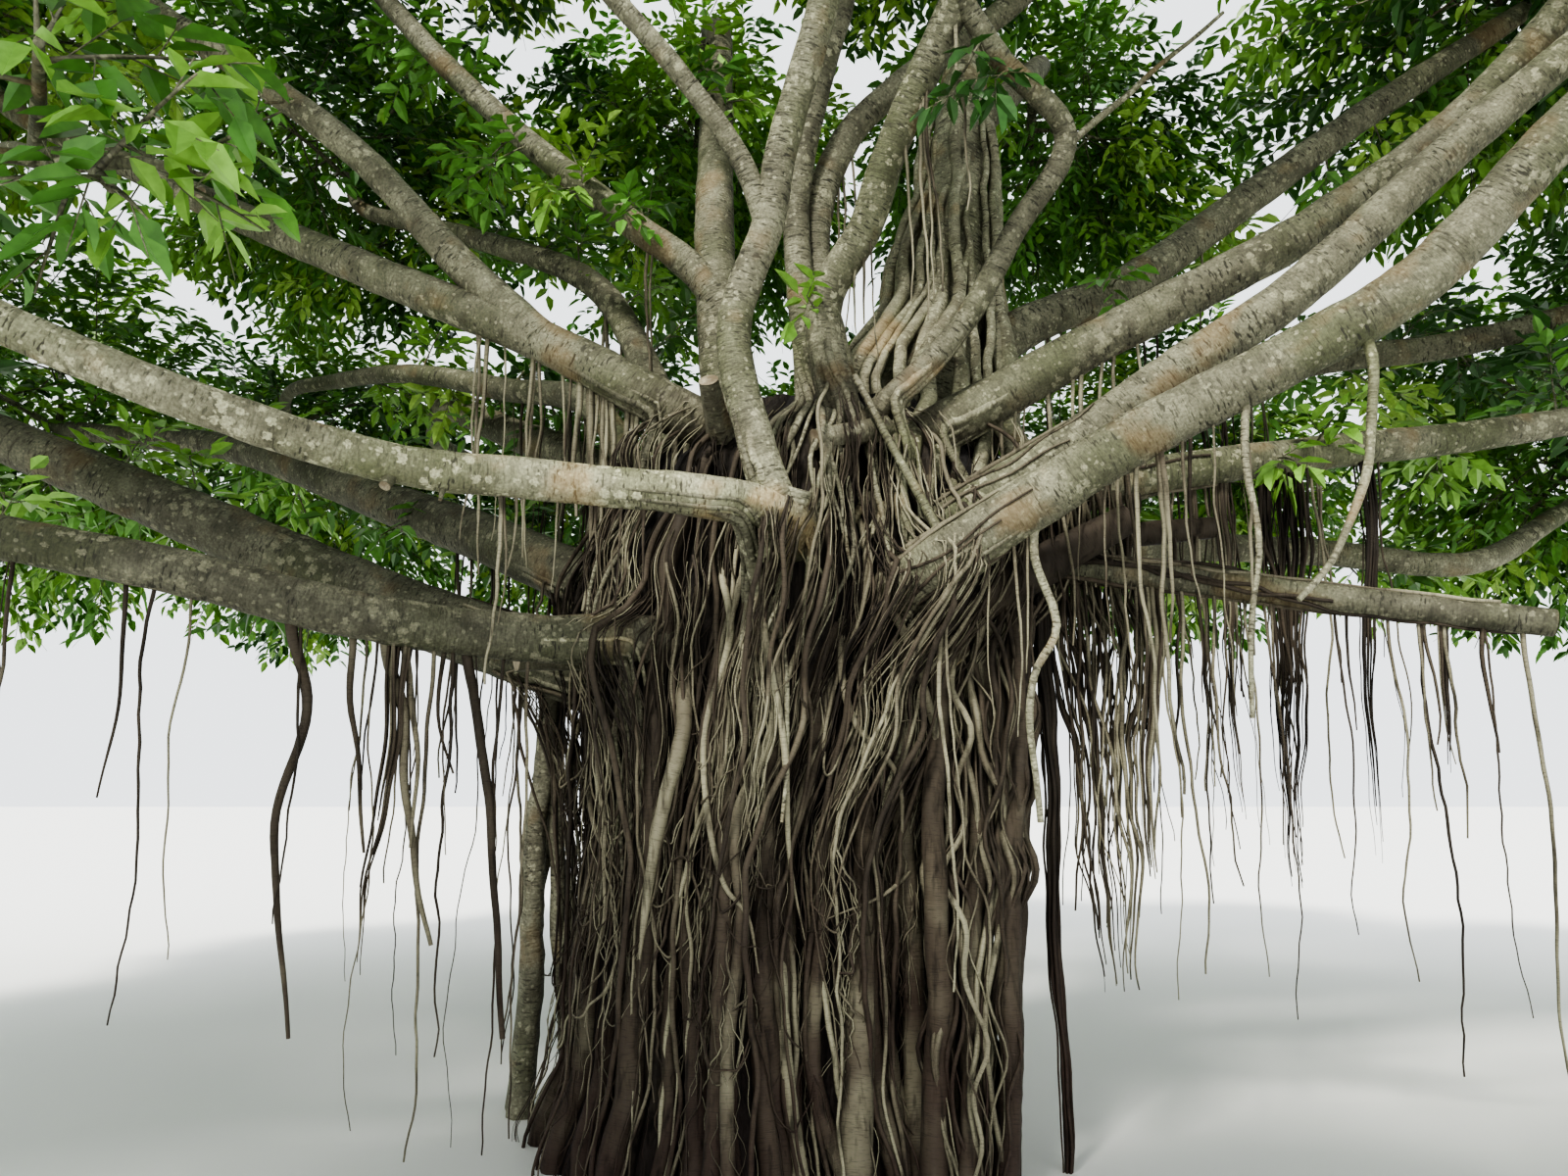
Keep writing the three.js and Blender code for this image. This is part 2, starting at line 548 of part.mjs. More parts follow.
function addPiece(name, solid, outset, colour, roughness = 0.9) {
  if (outset) made.push({ outset, box: outset.boundingBox() });
  tree.add(meshOf(name, solid, colour, roughness));
}

addPiece("trunk", trunkSolid(0), trunkSolid(GAP), COLOURS.trunk);

for (const limb of LIMBS) {
  const curve = limbCurve(limb, limbs);
  limbs.set(limb.name, { ...limb, curve, length: curve.getLength() });
  const whole = limbSolid(limb, curve, 0);
  addPiece(limb.name, clearOf(whole, nearby(whole)), limbSolid(limb, curve, GAP), COLOURS.bough);
}

for (const root of ROOTS) {
  const whole = rootSolid(root, 0);
  addPiece(root.name, clearOf(whole, nearby(whole)), rootSolid(root, GAP), COLOURS.root);
}

const obstacles = [...limbs.values()].flatMap((limb) =>
  beads(limb.curve, (t) => limbRadius(limb, limb.length, t), Math.ceil(limb.length / BEAD_STEP), limb.name),
);
const stems = MASSES.map((mass) => {
  const limb = limbs.get(mass.limb);
  const curve = stemCurve(mass, limb);
  const radius = Math.min(limb.girth[1], meanReach(mass) * STEM_GIRTH);
  obstacles.push(...beads(curve, (t) => mix(radius, radius * STEM_SLIM, t), STEM_BEADS, mass.name));
  return { curve, radius };
});

MASSES.forEach((mass, index) => {
  const { curve, radius } = stems[index];
  const branches = growMass(mass, index, curve, radius, obstacles);
  const solid = massSolid(curve, radius, branches);
  const bough = limbs.get(mass.limb);
  const carriers = mass.at === 1 ? [] : [limbSolid(bough, bough.curve, GAP)];
  addPiece(mass.name, clearOf(solid, carriers), null, COLOURS.leaf, 0.6);
});

export default tree;
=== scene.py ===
"""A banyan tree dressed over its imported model: ringed bark, roots that hang and fuse, twigs, leaves.

Metres, +Z up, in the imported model's own frame. -Y faces the camera.
"""

import logging
import math
from collections.abc import Callable, Iterable, Iterator
from dataclasses import dataclass, field
from enum import Enum

import bpy
import numpy as np
from bpy.types import Material, Mesh, Node, NodeSocket, NodeTree, Object
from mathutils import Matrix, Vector


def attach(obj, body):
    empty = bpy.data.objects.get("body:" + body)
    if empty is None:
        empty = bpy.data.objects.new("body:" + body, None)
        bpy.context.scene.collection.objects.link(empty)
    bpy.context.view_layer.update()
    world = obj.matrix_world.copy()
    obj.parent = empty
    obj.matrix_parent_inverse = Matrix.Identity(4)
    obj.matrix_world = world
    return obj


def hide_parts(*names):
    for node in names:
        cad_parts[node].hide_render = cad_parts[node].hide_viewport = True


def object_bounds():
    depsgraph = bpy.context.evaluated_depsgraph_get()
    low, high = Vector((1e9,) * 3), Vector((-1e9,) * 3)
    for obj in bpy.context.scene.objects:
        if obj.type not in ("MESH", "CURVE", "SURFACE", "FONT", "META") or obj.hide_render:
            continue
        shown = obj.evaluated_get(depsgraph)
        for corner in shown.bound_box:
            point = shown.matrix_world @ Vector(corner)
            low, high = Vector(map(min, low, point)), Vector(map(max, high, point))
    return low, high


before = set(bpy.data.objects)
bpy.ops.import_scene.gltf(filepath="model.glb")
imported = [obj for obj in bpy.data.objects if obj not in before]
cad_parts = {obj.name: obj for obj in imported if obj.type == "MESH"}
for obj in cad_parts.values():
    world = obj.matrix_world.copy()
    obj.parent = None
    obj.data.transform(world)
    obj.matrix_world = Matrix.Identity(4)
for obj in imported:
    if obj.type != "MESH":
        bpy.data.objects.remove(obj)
CAD_BOX = np.array([tuple(corner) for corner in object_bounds()])
BOX_SLACK = 0.004

log = logging.getLogger("banyan")

Array = np.ndarray
Rng = np.random.Generator
Pair = tuple[float, float]
Colour = tuple[float, float, float]
Row = tuple[float, ...]
Names = tuple[str, ...]
Settings = dict[str, object]

PIECE_LIMIT = 190_000
TURN = 2 * math.pi
GOLDEN_ANGLE = math.pi * (3 - math.sqrt(5))
# Any angle at all, in radians.
ANY_ANGLE = (0, 6.3)
UP = np.array([0.0, 0.0, 1.0])
# The largest whole number of 32 bits.
WORD = 0xFFFFFFFF


# Small vector work.


def unit(v: Array) -> Array:
    """Returns the vectors at unit length."""
    return v / np.maximum(np.linalg.norm(v, axis=-1, keepdims=True), 1e-9)


def heading(azimuth: float, pitch: float) -> Array:
    """Returns the direction at an azimuth and a pitch in degrees."""
    a, e = math.radians(azimuth), math.radians(pitch)
    return np.array([math.cos(a) * math.cos(e), math.sin(a) * math.cos(e), math.sin(e)])


def turned(v: Array, axis: Array, angle: Array | float) -> Array:
    """Turns vectors about unit axes.

    Args:
        v: The vectors.
        axis: Unit axes, one or as many as the vectors.
        angle: Angles in radians.

    Returns:
        Vectors turned about unit axes.
    """
    c, s = np.cos(angle)[..., None], np.sin(angle)[..., None]
    along = np.sum(axis * v, axis=-1, keepdims=True) * axis
    return v * c + np.cross(axis, v) * s + along * (1 - c)


def blend(ends: Pair, share: Array | float) -> Array | float:
    """Returns what lies between two values at a share of the way."""
    return ends[0] + (ends[1] - ends[0]) * share


def random_from(seed: int) -> Callable[[], float]:
    """Makes the part's repeatable random source.

    Args:
        seed: A whole number.

    Returns:
        The part's repeatable random source, a function that gives numbers from 0 to 1.
    """
    state = seed & WORD

    def draw() -> float:
        """Returns the next number."""
        nonlocal state
        state = (state + 0x6D2B79F5) & WORD
        t = (state ^ (state >> 15)) * (state | 1) & WORD
        t ^= (t + ((t ^ (t >> 7)) * (t | 61) & WORD)) & WORD
        return ((t ^ (t >> 14)) & WORD) / (WORD + 1)

    return draw


class Path:
    """A smooth curve through points, centripetal as the part's limbs are."""

    STEPS = 200

    def __init__(self, points: Array) -> None:
        """Keeps the points and measures the curve.

        Args:
            points: The points that the curve goes through, in order.
        """
        self.points = np.asarray(points, float)
        self.stops = np.linspace(0, 1, self.STEPS + 1)
        table = self.at(self.stops)
        self.run = np.concatenate([[0], np.cumsum(np.linalg.norm(np.diff(table, axis=0), axis=1))])
        self.length = float(self.run[-1])

    def at(self, t: Array | float) -> Array:
        """Reads the curve.

        Args:
            t: The curve's own parameter, 0 to 1.

        Returns:
            Points of the curve.
        """
        p = self.points
        padded = np.vstack([2 * p[0] - p[1], p, 2 * p[-1] - p[-2]])
        spans = len(p) - 1
        t = np.clip(np.asarray(t, float), 0, 1) * spans
        i = np.minimum(t.astype(int), spans - 1)
        w = (t - i)[..., None]
        a, b, c, d = (padded[i + k] for k in range(4))
        d0, d1, d2 = (np.sqrt(np.linalg.norm(gap, axis=-1, keepdims=True)) for gap in (b - a, c - b, d - c))
        m1 = ((b - a) / d0 - (c - a) / (d0 + d1) + (c - b) / d1) * d1
        m2 = ((c - b) / d1 - (d - b) / (d1 + d2) + (d - c) / d2) * d1
        return b + w * m1 + w**2 * (3 * (c - b) - 2 * m1 - m2) + w**3 * (2 * (b - c) + m1 + m2)

    def share_at(self, t: float) -> float:
        """Returns the share of the length at which the curve's own parameter lies."""
        return float(np.interp(t, self.stops, self.run)) / self.length

    def share(self, s: Array | float) -> Array:
        """Returns the points at shares of the curve's length."""
        return self.at(np.interp(np.asarray(s, float) * self.length, self.run, self.stops))

    def heading(self, s: float) -> Array:
        """Returns the curve's direction at a share of its length."""
        return unit(self.share(min(s + 1e-3, 1)) - self.share(max(s - 1e-3, 0)))

    def steps(self, step: float, more: int = 1) -> Array:
        """Returns even shares of the length about a step apart."""
        return np.linspace(0, 1, math.ceil(self.length / step) + more)


class Bow(Path):
    """A curve from one point to another, drawn towards a third."""

    def at(self, t: Array | float) -> Array:
        """Reads the curve.

        Args:
            t: The curve's own parameter, 0 to 1.

        Returns:
            Points of the curve.
        """
        a, b, c = self.points
        t = np.asarray(t, float)[..., None]
        return a * (1 - t) ** 2 + 2 * b * t * (1 - t) + c * t**2


# Node trees.


class Graph:
    """Adds and links nodes in one tree."""

    def __init__(self, tree: NodeTree) -> None:
        """Keeps the tree."""
        self.tree = tree

    def feed(self, node: Node, inputs: dict) -> None:
        """Fills a node's inputs.

        Args:
            node: The node.
            inputs: Values, or sockets to link, by the input's name or number.
        """
        for key, value in inputs.items():
            if isinstance(value, NodeSocket):
                self.tree.links.new(value, node.inputs[key])
            else:
                node.inputs[key].default_value = value

    def add(self, kind: str, inputs: dict | None = None, **props: object) -> Node:
        """Adds a node.

        Args:
            kind: The node's type.
            inputs: Values, or sockets to link, by the input's name or number.
            **props: The node's own settings.

        Returns:
            A new node.
        """
        node = self.tree.nodes.new(kind)
        for key, value in props.items():
            setattr(node, key, value)
        self.feed(node, inputs or {})
        return node

    def out(self, kind: str, inputs: dict | None = None, **props: object) -> NodeSocket:
        """Returns the first output of a new node."""
        return self.add(kind, inputs, **props).outputs[0]

    def group(self, tree: NodeTree, **inputs: object) -> Node:
        """Returns a new node that stands for a shader group."""
        return self.add("ShaderNodeGroup", inputs, node_tree=tree)

    def marked(self, name: str) -> NodeSocket:
        """Returns a number that the mesh keeps under a name, for a material."""
        return self.add("ShaderNodeAttribute", attribute_name=name).outputs["Fac"]

    def stored(self, name: str, kind: str = "FLOAT") -> NodeSocket:
        """Returns what the points keep under a name, for a geometry tree."""
        return self.out("GeometryNodeInputNamedAttribute", {"Name": name}, data_type=kind)

    def place(self) -> NodeSocket:
        """Returns the place on the object, for a material."""
        return self.add("ShaderNodeTexCoord").outputs["Object"]

    def maths(self, operation: str, a: object, b: object = 0.0, clamp: bool = False) -> NodeSocket:
        """Returns the outcome of a sum on two values or sockets."""
        return self.out("ShaderNodeMath", {0: a, 1: b}, operation=operation, use_clamp=clamp)

    def plus(self, a: object, b: object) -> NodeSocket:
        """Returns two values or sockets added up."""
        return self.maths("ADD", a, b)

    def times(self, a: object, b: object, clamp: bool = False) -> NodeSocket:
        """Returns the product of two values or sockets."""
        return self.maths("MULTIPLY", a, b, clamp)

    def scaled(self, vector: object, factor: object) -> NodeSocket:
        """Returns a vector or colour times a number."""
        return self.out("ShaderNodeVectorMath", {0: vector, 3: factor}, operation="SCALE")

    def between(
        self, value: object, low: float, high: float, to_low: float = 0, to_high: float = 1
    ) -> NodeSocket:
        """Returns a value mapped from one range to another and kept inside it."""
        return self.out("ShaderNodeMapRange", {0: value, 1: low, 2: high, 3: to_low, 4: to_high})

    def layered(self, colour: object, *layers: tuple[object, object]) -> NodeSocket:
        """Mixes colours in turn.

        Args:
            colour: The colour or colour socket.
            *layers: How much of each other one, 0 to 1, and that colour.

        Returns:
            A colour with others mixed over it in turn.
        """
        for share, other in layers:
            a, b = ((*c, 1) if isinstance(c, tuple) else c for c in (colour, other))
            colour = self.add("ShaderNodeMix", {0: share, 6: a, 7: b}, data_type="RGBA").outputs[2]
        return colour

    def noise(self, vector: object, scale: object, detail: float = 3, w: object = None) -> NodeSocket:
        """Adds noise.

        Args:
            vector: The vector.
            scale: How fine the noise is.
            detail: How many finer layers it has.
            w: A fourth number to vary it over, if any.

        Returns:
            Soft noise over a vector.
        """
        inputs = {"Vector": vector, "Scale": scale, "Detail": detail}
        if w is None:
            return self.out("ShaderNodeTexNoise", inputs, noise_dimensions="3D")
        return self.out("ShaderNodeTexNoise", {**inputs, "W": w}, noise_dimensions="4D")


def socketed(
    name: str, kind: str, inputs: dict[str, tuple], outputs: dict[str, str]
) -> tuple[Graph, object, Node]:
    """Starts a node group with named sockets.

    Args:
        name: The group's name.
        kind: The type of tree.
        inputs: Socket types and first values by name.
        outputs: Socket types by name.

    Returns:
        The graph, its input node's outputs and its output node.
    """
    tree = bpy.data.node_groups.new(name, kind)
    for label, (socket_type, value) in inputs.items():
        socket = tree.interface.new_socket(label, in_out="INPUT", socket_type=socket_type)
        if value is not None:
            socket.default_value = value
    for label, socket_type in outputs.items():
        tree.interface.new_socket(label, in_out="OUTPUT", socket_type=socket_type)
    graph = Graph(tree)
    return graph, graph.add("NodeGroupInput").outputs, graph.add("NodeGroupOutput")


NUMBER = "NodeSocketFloat"
VECTOR = "NodeSocketVector"
WHOLE = "NodeSocketInt"
SHAPE = "NodeSocketGeometry"


class Effects:
    """The shader groups that several finishes share."""

    def __init__(self) -> None:
        """Builds the groups."""
        self.rings = self._rings()
        self.patches = self._patches()
        self.spots = self._spots()

    def _rings(self) -> NodeTree:
        """Builds the group for rings.

        Returns:
            Folds and short marks across a limb, as a height and a mask of the dark ones.
        """
        inputs = {"Place": (VECTOR, None), "Along": (NUMBER, 0.0), "Spacing": (NUMBER, 0.03)}
        outputs = {"Height": NUMBER, "Lines": NUMBER}
        graph, start, end = socketed("bark_rings", "ShaderNodeTree", inputs, outputs)
        steps = graph.maths("DIVIDE", start["Along"], start["Spacing"])
        folds = graph.noise(start["Place"], 6.0, 2, graph.maths("DIVIDE", steps, 6.0))
        marks = graph.noise(start["Place"], 22.0, 3, graph.maths("DIVIDE", steps, 22.0 / 3.0))
        both = graph.plus(graph.times(folds, 0.45), graph.times(marks, 0.55))
        broad = graph.times(graph.between(folds, 0.39, 0.33), 0.5)
        lines = graph.maths("MAXIMUM", graph.between(marks, 0.45, 0.37), broad)
        graph.feed(end, {"Height": graph.between(both, 0.38, 0.62), "Lines": lines})
        return graph.tree

    def _patches(self) -> NodeTree:
        """Builds the group for weathering.

        Returns:
            Broad weathered patches as a mask.
        """
        inputs = {"Place": (VECTOR, None), "Scale": (NUMBER, 3.0)}
        inputs |= {"Low": (NUMBER, 0.4), "High": (NUMBER, 0.62)}
        graph, start, end = socketed("weathering", "ShaderNodeTree", inputs, {"Mask": NUMBER})
        soft = graph.noise(start["Place"], start["Scale"], 5)
        above = graph.maths("SUBTRACT", soft, start["Low"])
        spread = graph.maths("SUBTRACT", start["High"], start["Low"])
        graph.feed(end, {"Mask": graph.maths("DIVIDE", above, spread, clamp=True)})
        return graph.tree

    def _spots(self) -> NodeTree:
        """Builds the group for lichen.

        Returns:
            Round lichen spots as a mask.
        """
        inputs = {"Place": (VECTOR, None), "Scale": (NUMBER, 16.0), "Size": (NUMBER, 0.3)}
        graph, start, end = socketed("lichen", "ShaderNodeTree", inputs, {"Mask": NUMBER})
        edge = graph.noise(start["Place"], 70.0, 2)
        cells = graph.out("ShaderNodeTexVoronoi", {"Vector": start["Place"], "Scale": start["Scale"]})
        rough = graph.plus(cells, graph.between(edge, 0.3, 0.7, -0.12, 0.12))
        here = graph.noise(start["Place"], 2.6, 2)
        limit = graph.times(start["Size"], graph.between(here, 0.4, 0.62, 0.25, 1.25))
        inside = graph.maths("SUBTRACT", limit, rough)
        graph.feed(end, {"Mask": graph.times(inside, 12.0, clamp=True)})
        return graph.tree


# Finishes.


def blank_material(name: str) -> tuple[Graph, Node]:
    """Starts a material.

    Args:
        name: The material's name.

    Returns:
        Its graph and its surface shader.
    """
    material = bpy.data.materials.new(name)
    material.use_nodes = True
    material.node_tree.nodes.clear()
    graph = Graph(material.node_tree)
    surface = graph.add("ShaderNodeBsdfPrincipled")
    graph.add("ShaderNodeOutputMaterial", {"Surface": surface.outputs[0]})
    return graph, surface


@dataclass(frozen=True)
class LimbBark:
    """Pale smooth bark with wrinkles round the limb, lichen spots and green patches, with painted light and
    shade by each limb's tone and painted shade where the limbs meet the trunk.
    """

    name: str
    pale: Colour
    deep: Colour
    algae_share: float
    ring_spacing: float
    spot_size: float
    # How much painted shade darkens the limbs where they meet the trunk.
    foot_share: float
    # The colour of that painted shade.
    foot: Colour = (0.05, 0.039, 0.027)
    algae: Colour = (0.1, 0.12, 0.05)
    rust: Colour = (0.2, 0.13, 0.06)
    # How far each limb's tone scales its colour, from painted shade to painted light.
    lit: Pair = (0.5, 1.5)
    # How far out from the trunk's axis, and how high, the painted shade at the trunk reaches.
    foot_reach: Pair = (1.16, 0.86)
    foot_top: Pair = (3.9, 3.2)
    relief: float = 0.006

    def material(self, effects: Effects) -> Material:
        """Builds the bark.

        Args:
            effects: The shared shader groups.

        Returns:
            The material.
        """
        graph, surface = blank_material(self.name)
        place = graph.place()
        along = graph.marked("along")
        rings = graph.group(effects.rings, Place=place, Along=along, Spacing=self.ring_spacing)
        spots = graph.group(effects.spots, Place=place, Size=self.spot_size).outputs[0]
        broad = graph.group(effects.patches, Place=place).outputs[0]
        span = {"Low": 0.62 - self.algae_share, "High": 0.82 - self.algae_share}
        green = graph.group(effects.patches, Place=place, Scale=1.7, **span).outputs[0]
        grain = graph.noise(place, 90.0, 4)
        mottle = graph.noise(place, 11.0, 5)
        wear = graph.plus(graph.times(broad, 0.5), graph.between(mottle, 0.36, 0.64, 0.0, 0.6))
        dark = tuple(0.3 * c for c in self.deep)
        light = tuple(min(1.0, 1.45 * c) for c in self.pale)
        worn = graph.between(graph.noise(place, 4.0, 2), 0.35, 0.6, 0.25, 0.95)
        rusty = graph.between(graph.noise(place, 3.1, 4), 0.58, 0.68)
        colour = graph.layered(
            self.deep,
            (wear, self.pale),
            (graph.times(green, 0.6), self.algae),
            (graph.times(rings.outputs["Lines"], worn), dark),
            (graph.times(self._flecks(graph, place), 0.55), light),
            (graph.times(spots, 0.75), light),
            (graph.between(grain, 0.34, 0.7, 0.5, 0.0), dark),
            (graph.times(rusty, 0.45), self.rust),
        )
        # Painted light and shade: each limb's tone makes its whole bark darker or lighter.
        colour = graph.scaled(colour, graph.between(graph.marked("tone"), 0, 1, *self.lit))
        # Painted shade where the limbs meet the trunk.
        colour = graph.layered(colour, (self._foot_mask(graph, place, mottle), self.foot))
        height = graph.plus(rings.outputs["Height"], graph.times(grain, 0.35))
        height = graph.plus(height, graph.times(spots, 0.2))
        bump = graph.out("ShaderNodeBump", {"Height": height, "Strength": 0.75, "Distance": self.relief})
        rough = graph.between(spots, 0, 1, 0.78, 0.95)
        graph.feed(surface, {"Base Color": colour, "Roughness": rough, "Normal": bump})
        return bpy.data.materials[self.name]

    def _flecks(self, graph: Graph, place: NodeSocket) -> NodeSocket:
        """Scatters the light flecks.

        Args:
            graph: The material's graph.
            place: The place on the tree.

        Returns:
            Small light flecks as a mask.
        """
        cells = graph.add("ShaderNodeTexVoronoi", {"Vector": place, "Scale": 42.0}).outputs
        speck = graph.out("ShaderNodeSeparateColor", {0: cells["Color"]})
        near = graph.between(cells["Distance"], 0.42, 0.3)
        return graph.times(graph.between(speck, 0.74, 0.8), near)

    def _foot_mask(self, graph: Graph, place: NodeSocket, breakup: NodeSocket) -> NodeSocket:
        """Masks the painted shade on the limbs' feet.

        Args:
            graph: The material's graph.
            place: The place on the tree.
            breakup: Soft noise that frays the mask's edge.

        Returns:
            Where the limbs' feet are darkened with painted shade near the trunk.
        """
        flat = graph.out("ShaderNodeVectorMath", {0: place, 1: (1, 1, 0)}, operation="MULTIPLY")
        reach = graph.add("ShaderNodeVectorMath", {0: flat}, operation="LENGTH").outputs["Value"]
        height = graph.add("ShaderNodeSeparateXYZ", {0: place}).outputs[2]
        frayed = graph.plus(reach, graph.between(breakup, 0.3, 0.7, -0.12, 0.12))
        near = graph.times(graph.between(frayed, *self.foot_reach), graph.between(height, *self.foot_top))
        return graph.times(near, self.foot_share)


@dataclass(frozen=True)
class RootBark:
    """Bark of aerial roots: each root has its own shade, and all grow darker and redder lower down."""

    name: str
    dark: Colour
    middle: Colour
    pale: Colour
    earth: Colour
    earth_top: float
    streak: Row = (26, 26, 5)
    relief: float = 0.004

    def material(self, effects: Effects) -> Material:
        """Builds the bark.

        Args:
            effects: The shared shader groups.

        Returns:
            The material.
        """
        graph, surface = blank_material(self.name)
        place = graph.place()
        rings = graph.group(effects.rings, Place=place, Along=graph.marked("along"), Spacing=0.012)
        squashed = graph.out("ShaderNodeVectorMath", {0: place, 1: self.streak}, operation="MULTIPLY")
        streaks = graph.noise(squashed, 1.0, 4)
        drift = graph.noise(place, 2.2, 3)
        shade = graph.plus(graph.marked("tone"), graph.between(drift, 0.3, 0.7, -0.22, 0.22))
        height = graph.add("ShaderNodeSeparateXYZ", {0: place}).outputs[2]
        low = graph.between(height, self.earth_top, self.earth_top * 0.3)
        low = graph.times(low, graph.between(graph.plus(shade, drift), 1.25, 0.7))
        black = tuple(0.35 * c for c in self.dark)
        colour = graph.layered(
            self.dark,
            (graph.between(shade, 0.0, 0.5), self.middle),
            (graph.between(shade, 0.5, 1.0), self.pale),
            (graph.times(low, 0.85), self.earth),
            # Dark streaks in the bark; on the trunk's body they are painted shade, roots in shadow.
            (graph.between(streaks, 0.46, 0.3, 0.0, 0.7), black),
            (graph.times(rings.outputs["Lines"], 0.35), black),
        )
        height = graph.plus(streaks, graph.times(rings.outputs["Height"], 0.4))
        bump = graph.out("ShaderNodeBump", {"Height": height, "Strength": 0.8, "Distance": self.relief})
        rough = graph.between(streaks, 0.3, 0.7, 0.95, 0.72)
        graph.feed(surface, {"Base Color": colour, "Roughness": rough, "Normal": bump})
        return bpy.data.materials[self.name]


@dataclass(frozen=True)
class CutWood:
    """Weathered end grain."""

    name: str
    light: Colour
    dark: Colour

    def material(self, effects: Effects) -> Material:
        """Builds the end grain.

        Args:
            effects: The shared shader groups.

        Returns:
            The material.
        """
        graph, surface = blank_material(self.name)
        place = graph.place()
        broad = graph.group(effects.patches, Place=place, Scale=14.0).outputs[0]
        grain = graph.noise(place, 160.0, 4)
        pores = graph.between(grain, 0.6, 0.4, 0.0, 0.5)
        colour = graph.layered(self.dark, (broad, self.light), (pores, self.dark))
        bump = graph.out("ShaderNodeBump", {"Height": grain, "Strength": 0.6, "Distance": 0.003})
        graph.feed(surface, {"Base Color": colour, "Roughness": 0.9, "Normal": bump})
        return bpy.data.materials[self.name]


@dataclass(frozen=True)
class LeafGreen:
    """One of the greens that are dealt out by spray, with a faint mottling and a waxy sheen."""

    name: str
    colour: Colour
    roughness: float = 0.42
    sheen: float = 0.35

    def material(self, effects: Effects) -> Material:
        """Builds the leaf's surface.

        Args:
            effects: The shared shader groups.

        Returns:
            The material.
        """
        graph, surface = blank_material(self.name)
        broad = graph.group(effects.patches, Place=graph.place(), Scale=30.0).outputs[0]
        deeper = tuple(0.78 * c for c in self.colour)
        colour = graph.layered(self.colour, (broad, deeper))
        looks = {"Base Color": colour, "Roughness": self.roughness, "Specular IOR Level": self.sheen}
        graph.feed(surface, looks)
        return bpy.data.materials[self.name]


# Pieces.


def settled(piece: Object, replaces: Names = ()) -> Object:
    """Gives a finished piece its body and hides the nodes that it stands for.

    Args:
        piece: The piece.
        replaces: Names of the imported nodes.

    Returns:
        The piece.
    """
    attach(piece, "root")
    if replaces:
        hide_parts(*replaces)
    piece.data.calc_loop_triangles()
    log.info("%s: %d triangles, for %d nodes", piece.name, len(piece.data.loop_triangles), len(replaces))
    return piece


def loose_object(name: str, mesh: Mesh) -> Object:
    """Adds an object to the scene.

    Args:
        name: The object's name.
        mesh: Its mesh.

    Returns:
        A new object in the scene.
    """
    made = bpy.data.objects.new(name, mesh)
    bpy.context.scene.collection.objects.link(made)
    return made


def modelled(name: str, seed: Mesh, tree: NodeTree, settings: Settings) -> Object:
    """Runs a Geometry Nodes tree.

    Args:
        name: The new object's name.
        seed: The mesh that the tree starts from.
        tree: The tree.
        settings: Values for its inputs, by their names.

    Returns:
        A new object with the plain mesh that a Geometry Nodes tree makes of another.
    """
    holder = loose_object(name + "_seed", seed)
    modifier = holder.modifiers.new("growth", "NODES")
    modifier.node_group = tree
    for label, value in settings.items():
        modifier[tree.interface.items_tree[label].identifier] = value
    mesh = bpy.data.meshes.new_from_object(holder.evaluated_get(bpy.context.evaluated_depsgraph_get()))
    bpy.data.objects.remove(holder)
    bpy.data.meshes.remove(seed)
    mesh.name = name
    return loose_object(name, mesh)


def point_mesh(name: str, points: Array, edges: Array, values: dict[str, Array]) -> Mesh:
    """Stores points for a Geometry Nodes tree.

    Args:
        name: The mesh's name.
        points: The places.
        edges: Pairs of point numbers.
        values: Numbers or vectors for each point, by name.

    Returns:
        A mesh of points and edges with named values on its points.
    """
    mesh = bpy.data.meshes.new(name)
    mesh.vertices.add(len(points))
    mesh.vertices.foreach_set("co", np.asarray(points, np.float32).ravel())
    if len(edges):
        mesh.edges.add(len(edges))
        mesh.edges.foreach_set("vertices", np.asarray(edges, np.int32).ravel())
    for label, data in values.items():
        kind = "FLOAT_VECTOR" if data.ndim == 2 else "INT" if data.dtype.kind == "i" else "FLOAT"
        layer = mesh.attributes.new(label, kind, "POINT")
        layer.data.foreach_set("vector" if data.ndim == 2 else "value", data.ravel())
    return mesh


def in_lots(groups: Iterable[tuple[list, int, Names]]) -> Iterator[tuple[int, list, Names]]:
    """Sorts things into pieces that are all under the limit of triangles.

    Args:
        groups: Things that stay together, with their triangles and the nodes that they stand for.

    Yields:
        The number, the things and the nodes of each piece.
    """
    batch, nodes, count, number = [], (), 0, 1
    for things, faces, replaced in groups:
        if batch and count + faces > PIECE_LIMIT:
            yield number, batch, nodes
            batch, nodes, count, number = [], (), 0, number + 1
        batch, nodes, count = batch + things, nodes + replaced, count + faces
    yield number, batch, nodes


@dataclass
class Strand:
    """A limb, root or twig: its line, its half thickness along it, and its tone, 0 dark to 1 pale, which on
    the limbs, and in part on the roots that clothe the trunk, is painted light and shade.
    """

    points: Array
    girth: Array
    tone: float = 0.5

    @staticmethod
    def tapered(line: Path, girths: Pair, count: int) -> "Strand":
        """Returns a strand of as many points as given that thins evenly along a line."""
        return Strand(line.at(np.linspace(0, 1, count)), np.linspace(*girths, count))


# Strands that stay together, with the nodes that they stand for.
Group = tuple[list[Strand], Names]


def apart(strands: list[Strand]) -> list[Group]:
    """Returns a group of its own for each strand, for no node."""
    return [([strand], ()) for strand in strands]


@dataclass(frozen=True)
class Relief:
    """A tube's sides, and how deep and fine its lumps and rings are; depths are shares of its girth."""

    sides: int
    lump_depth: float
    lump_scale: float
    ring_depth: float = 0.0
    ring_spacing: float = 0.1


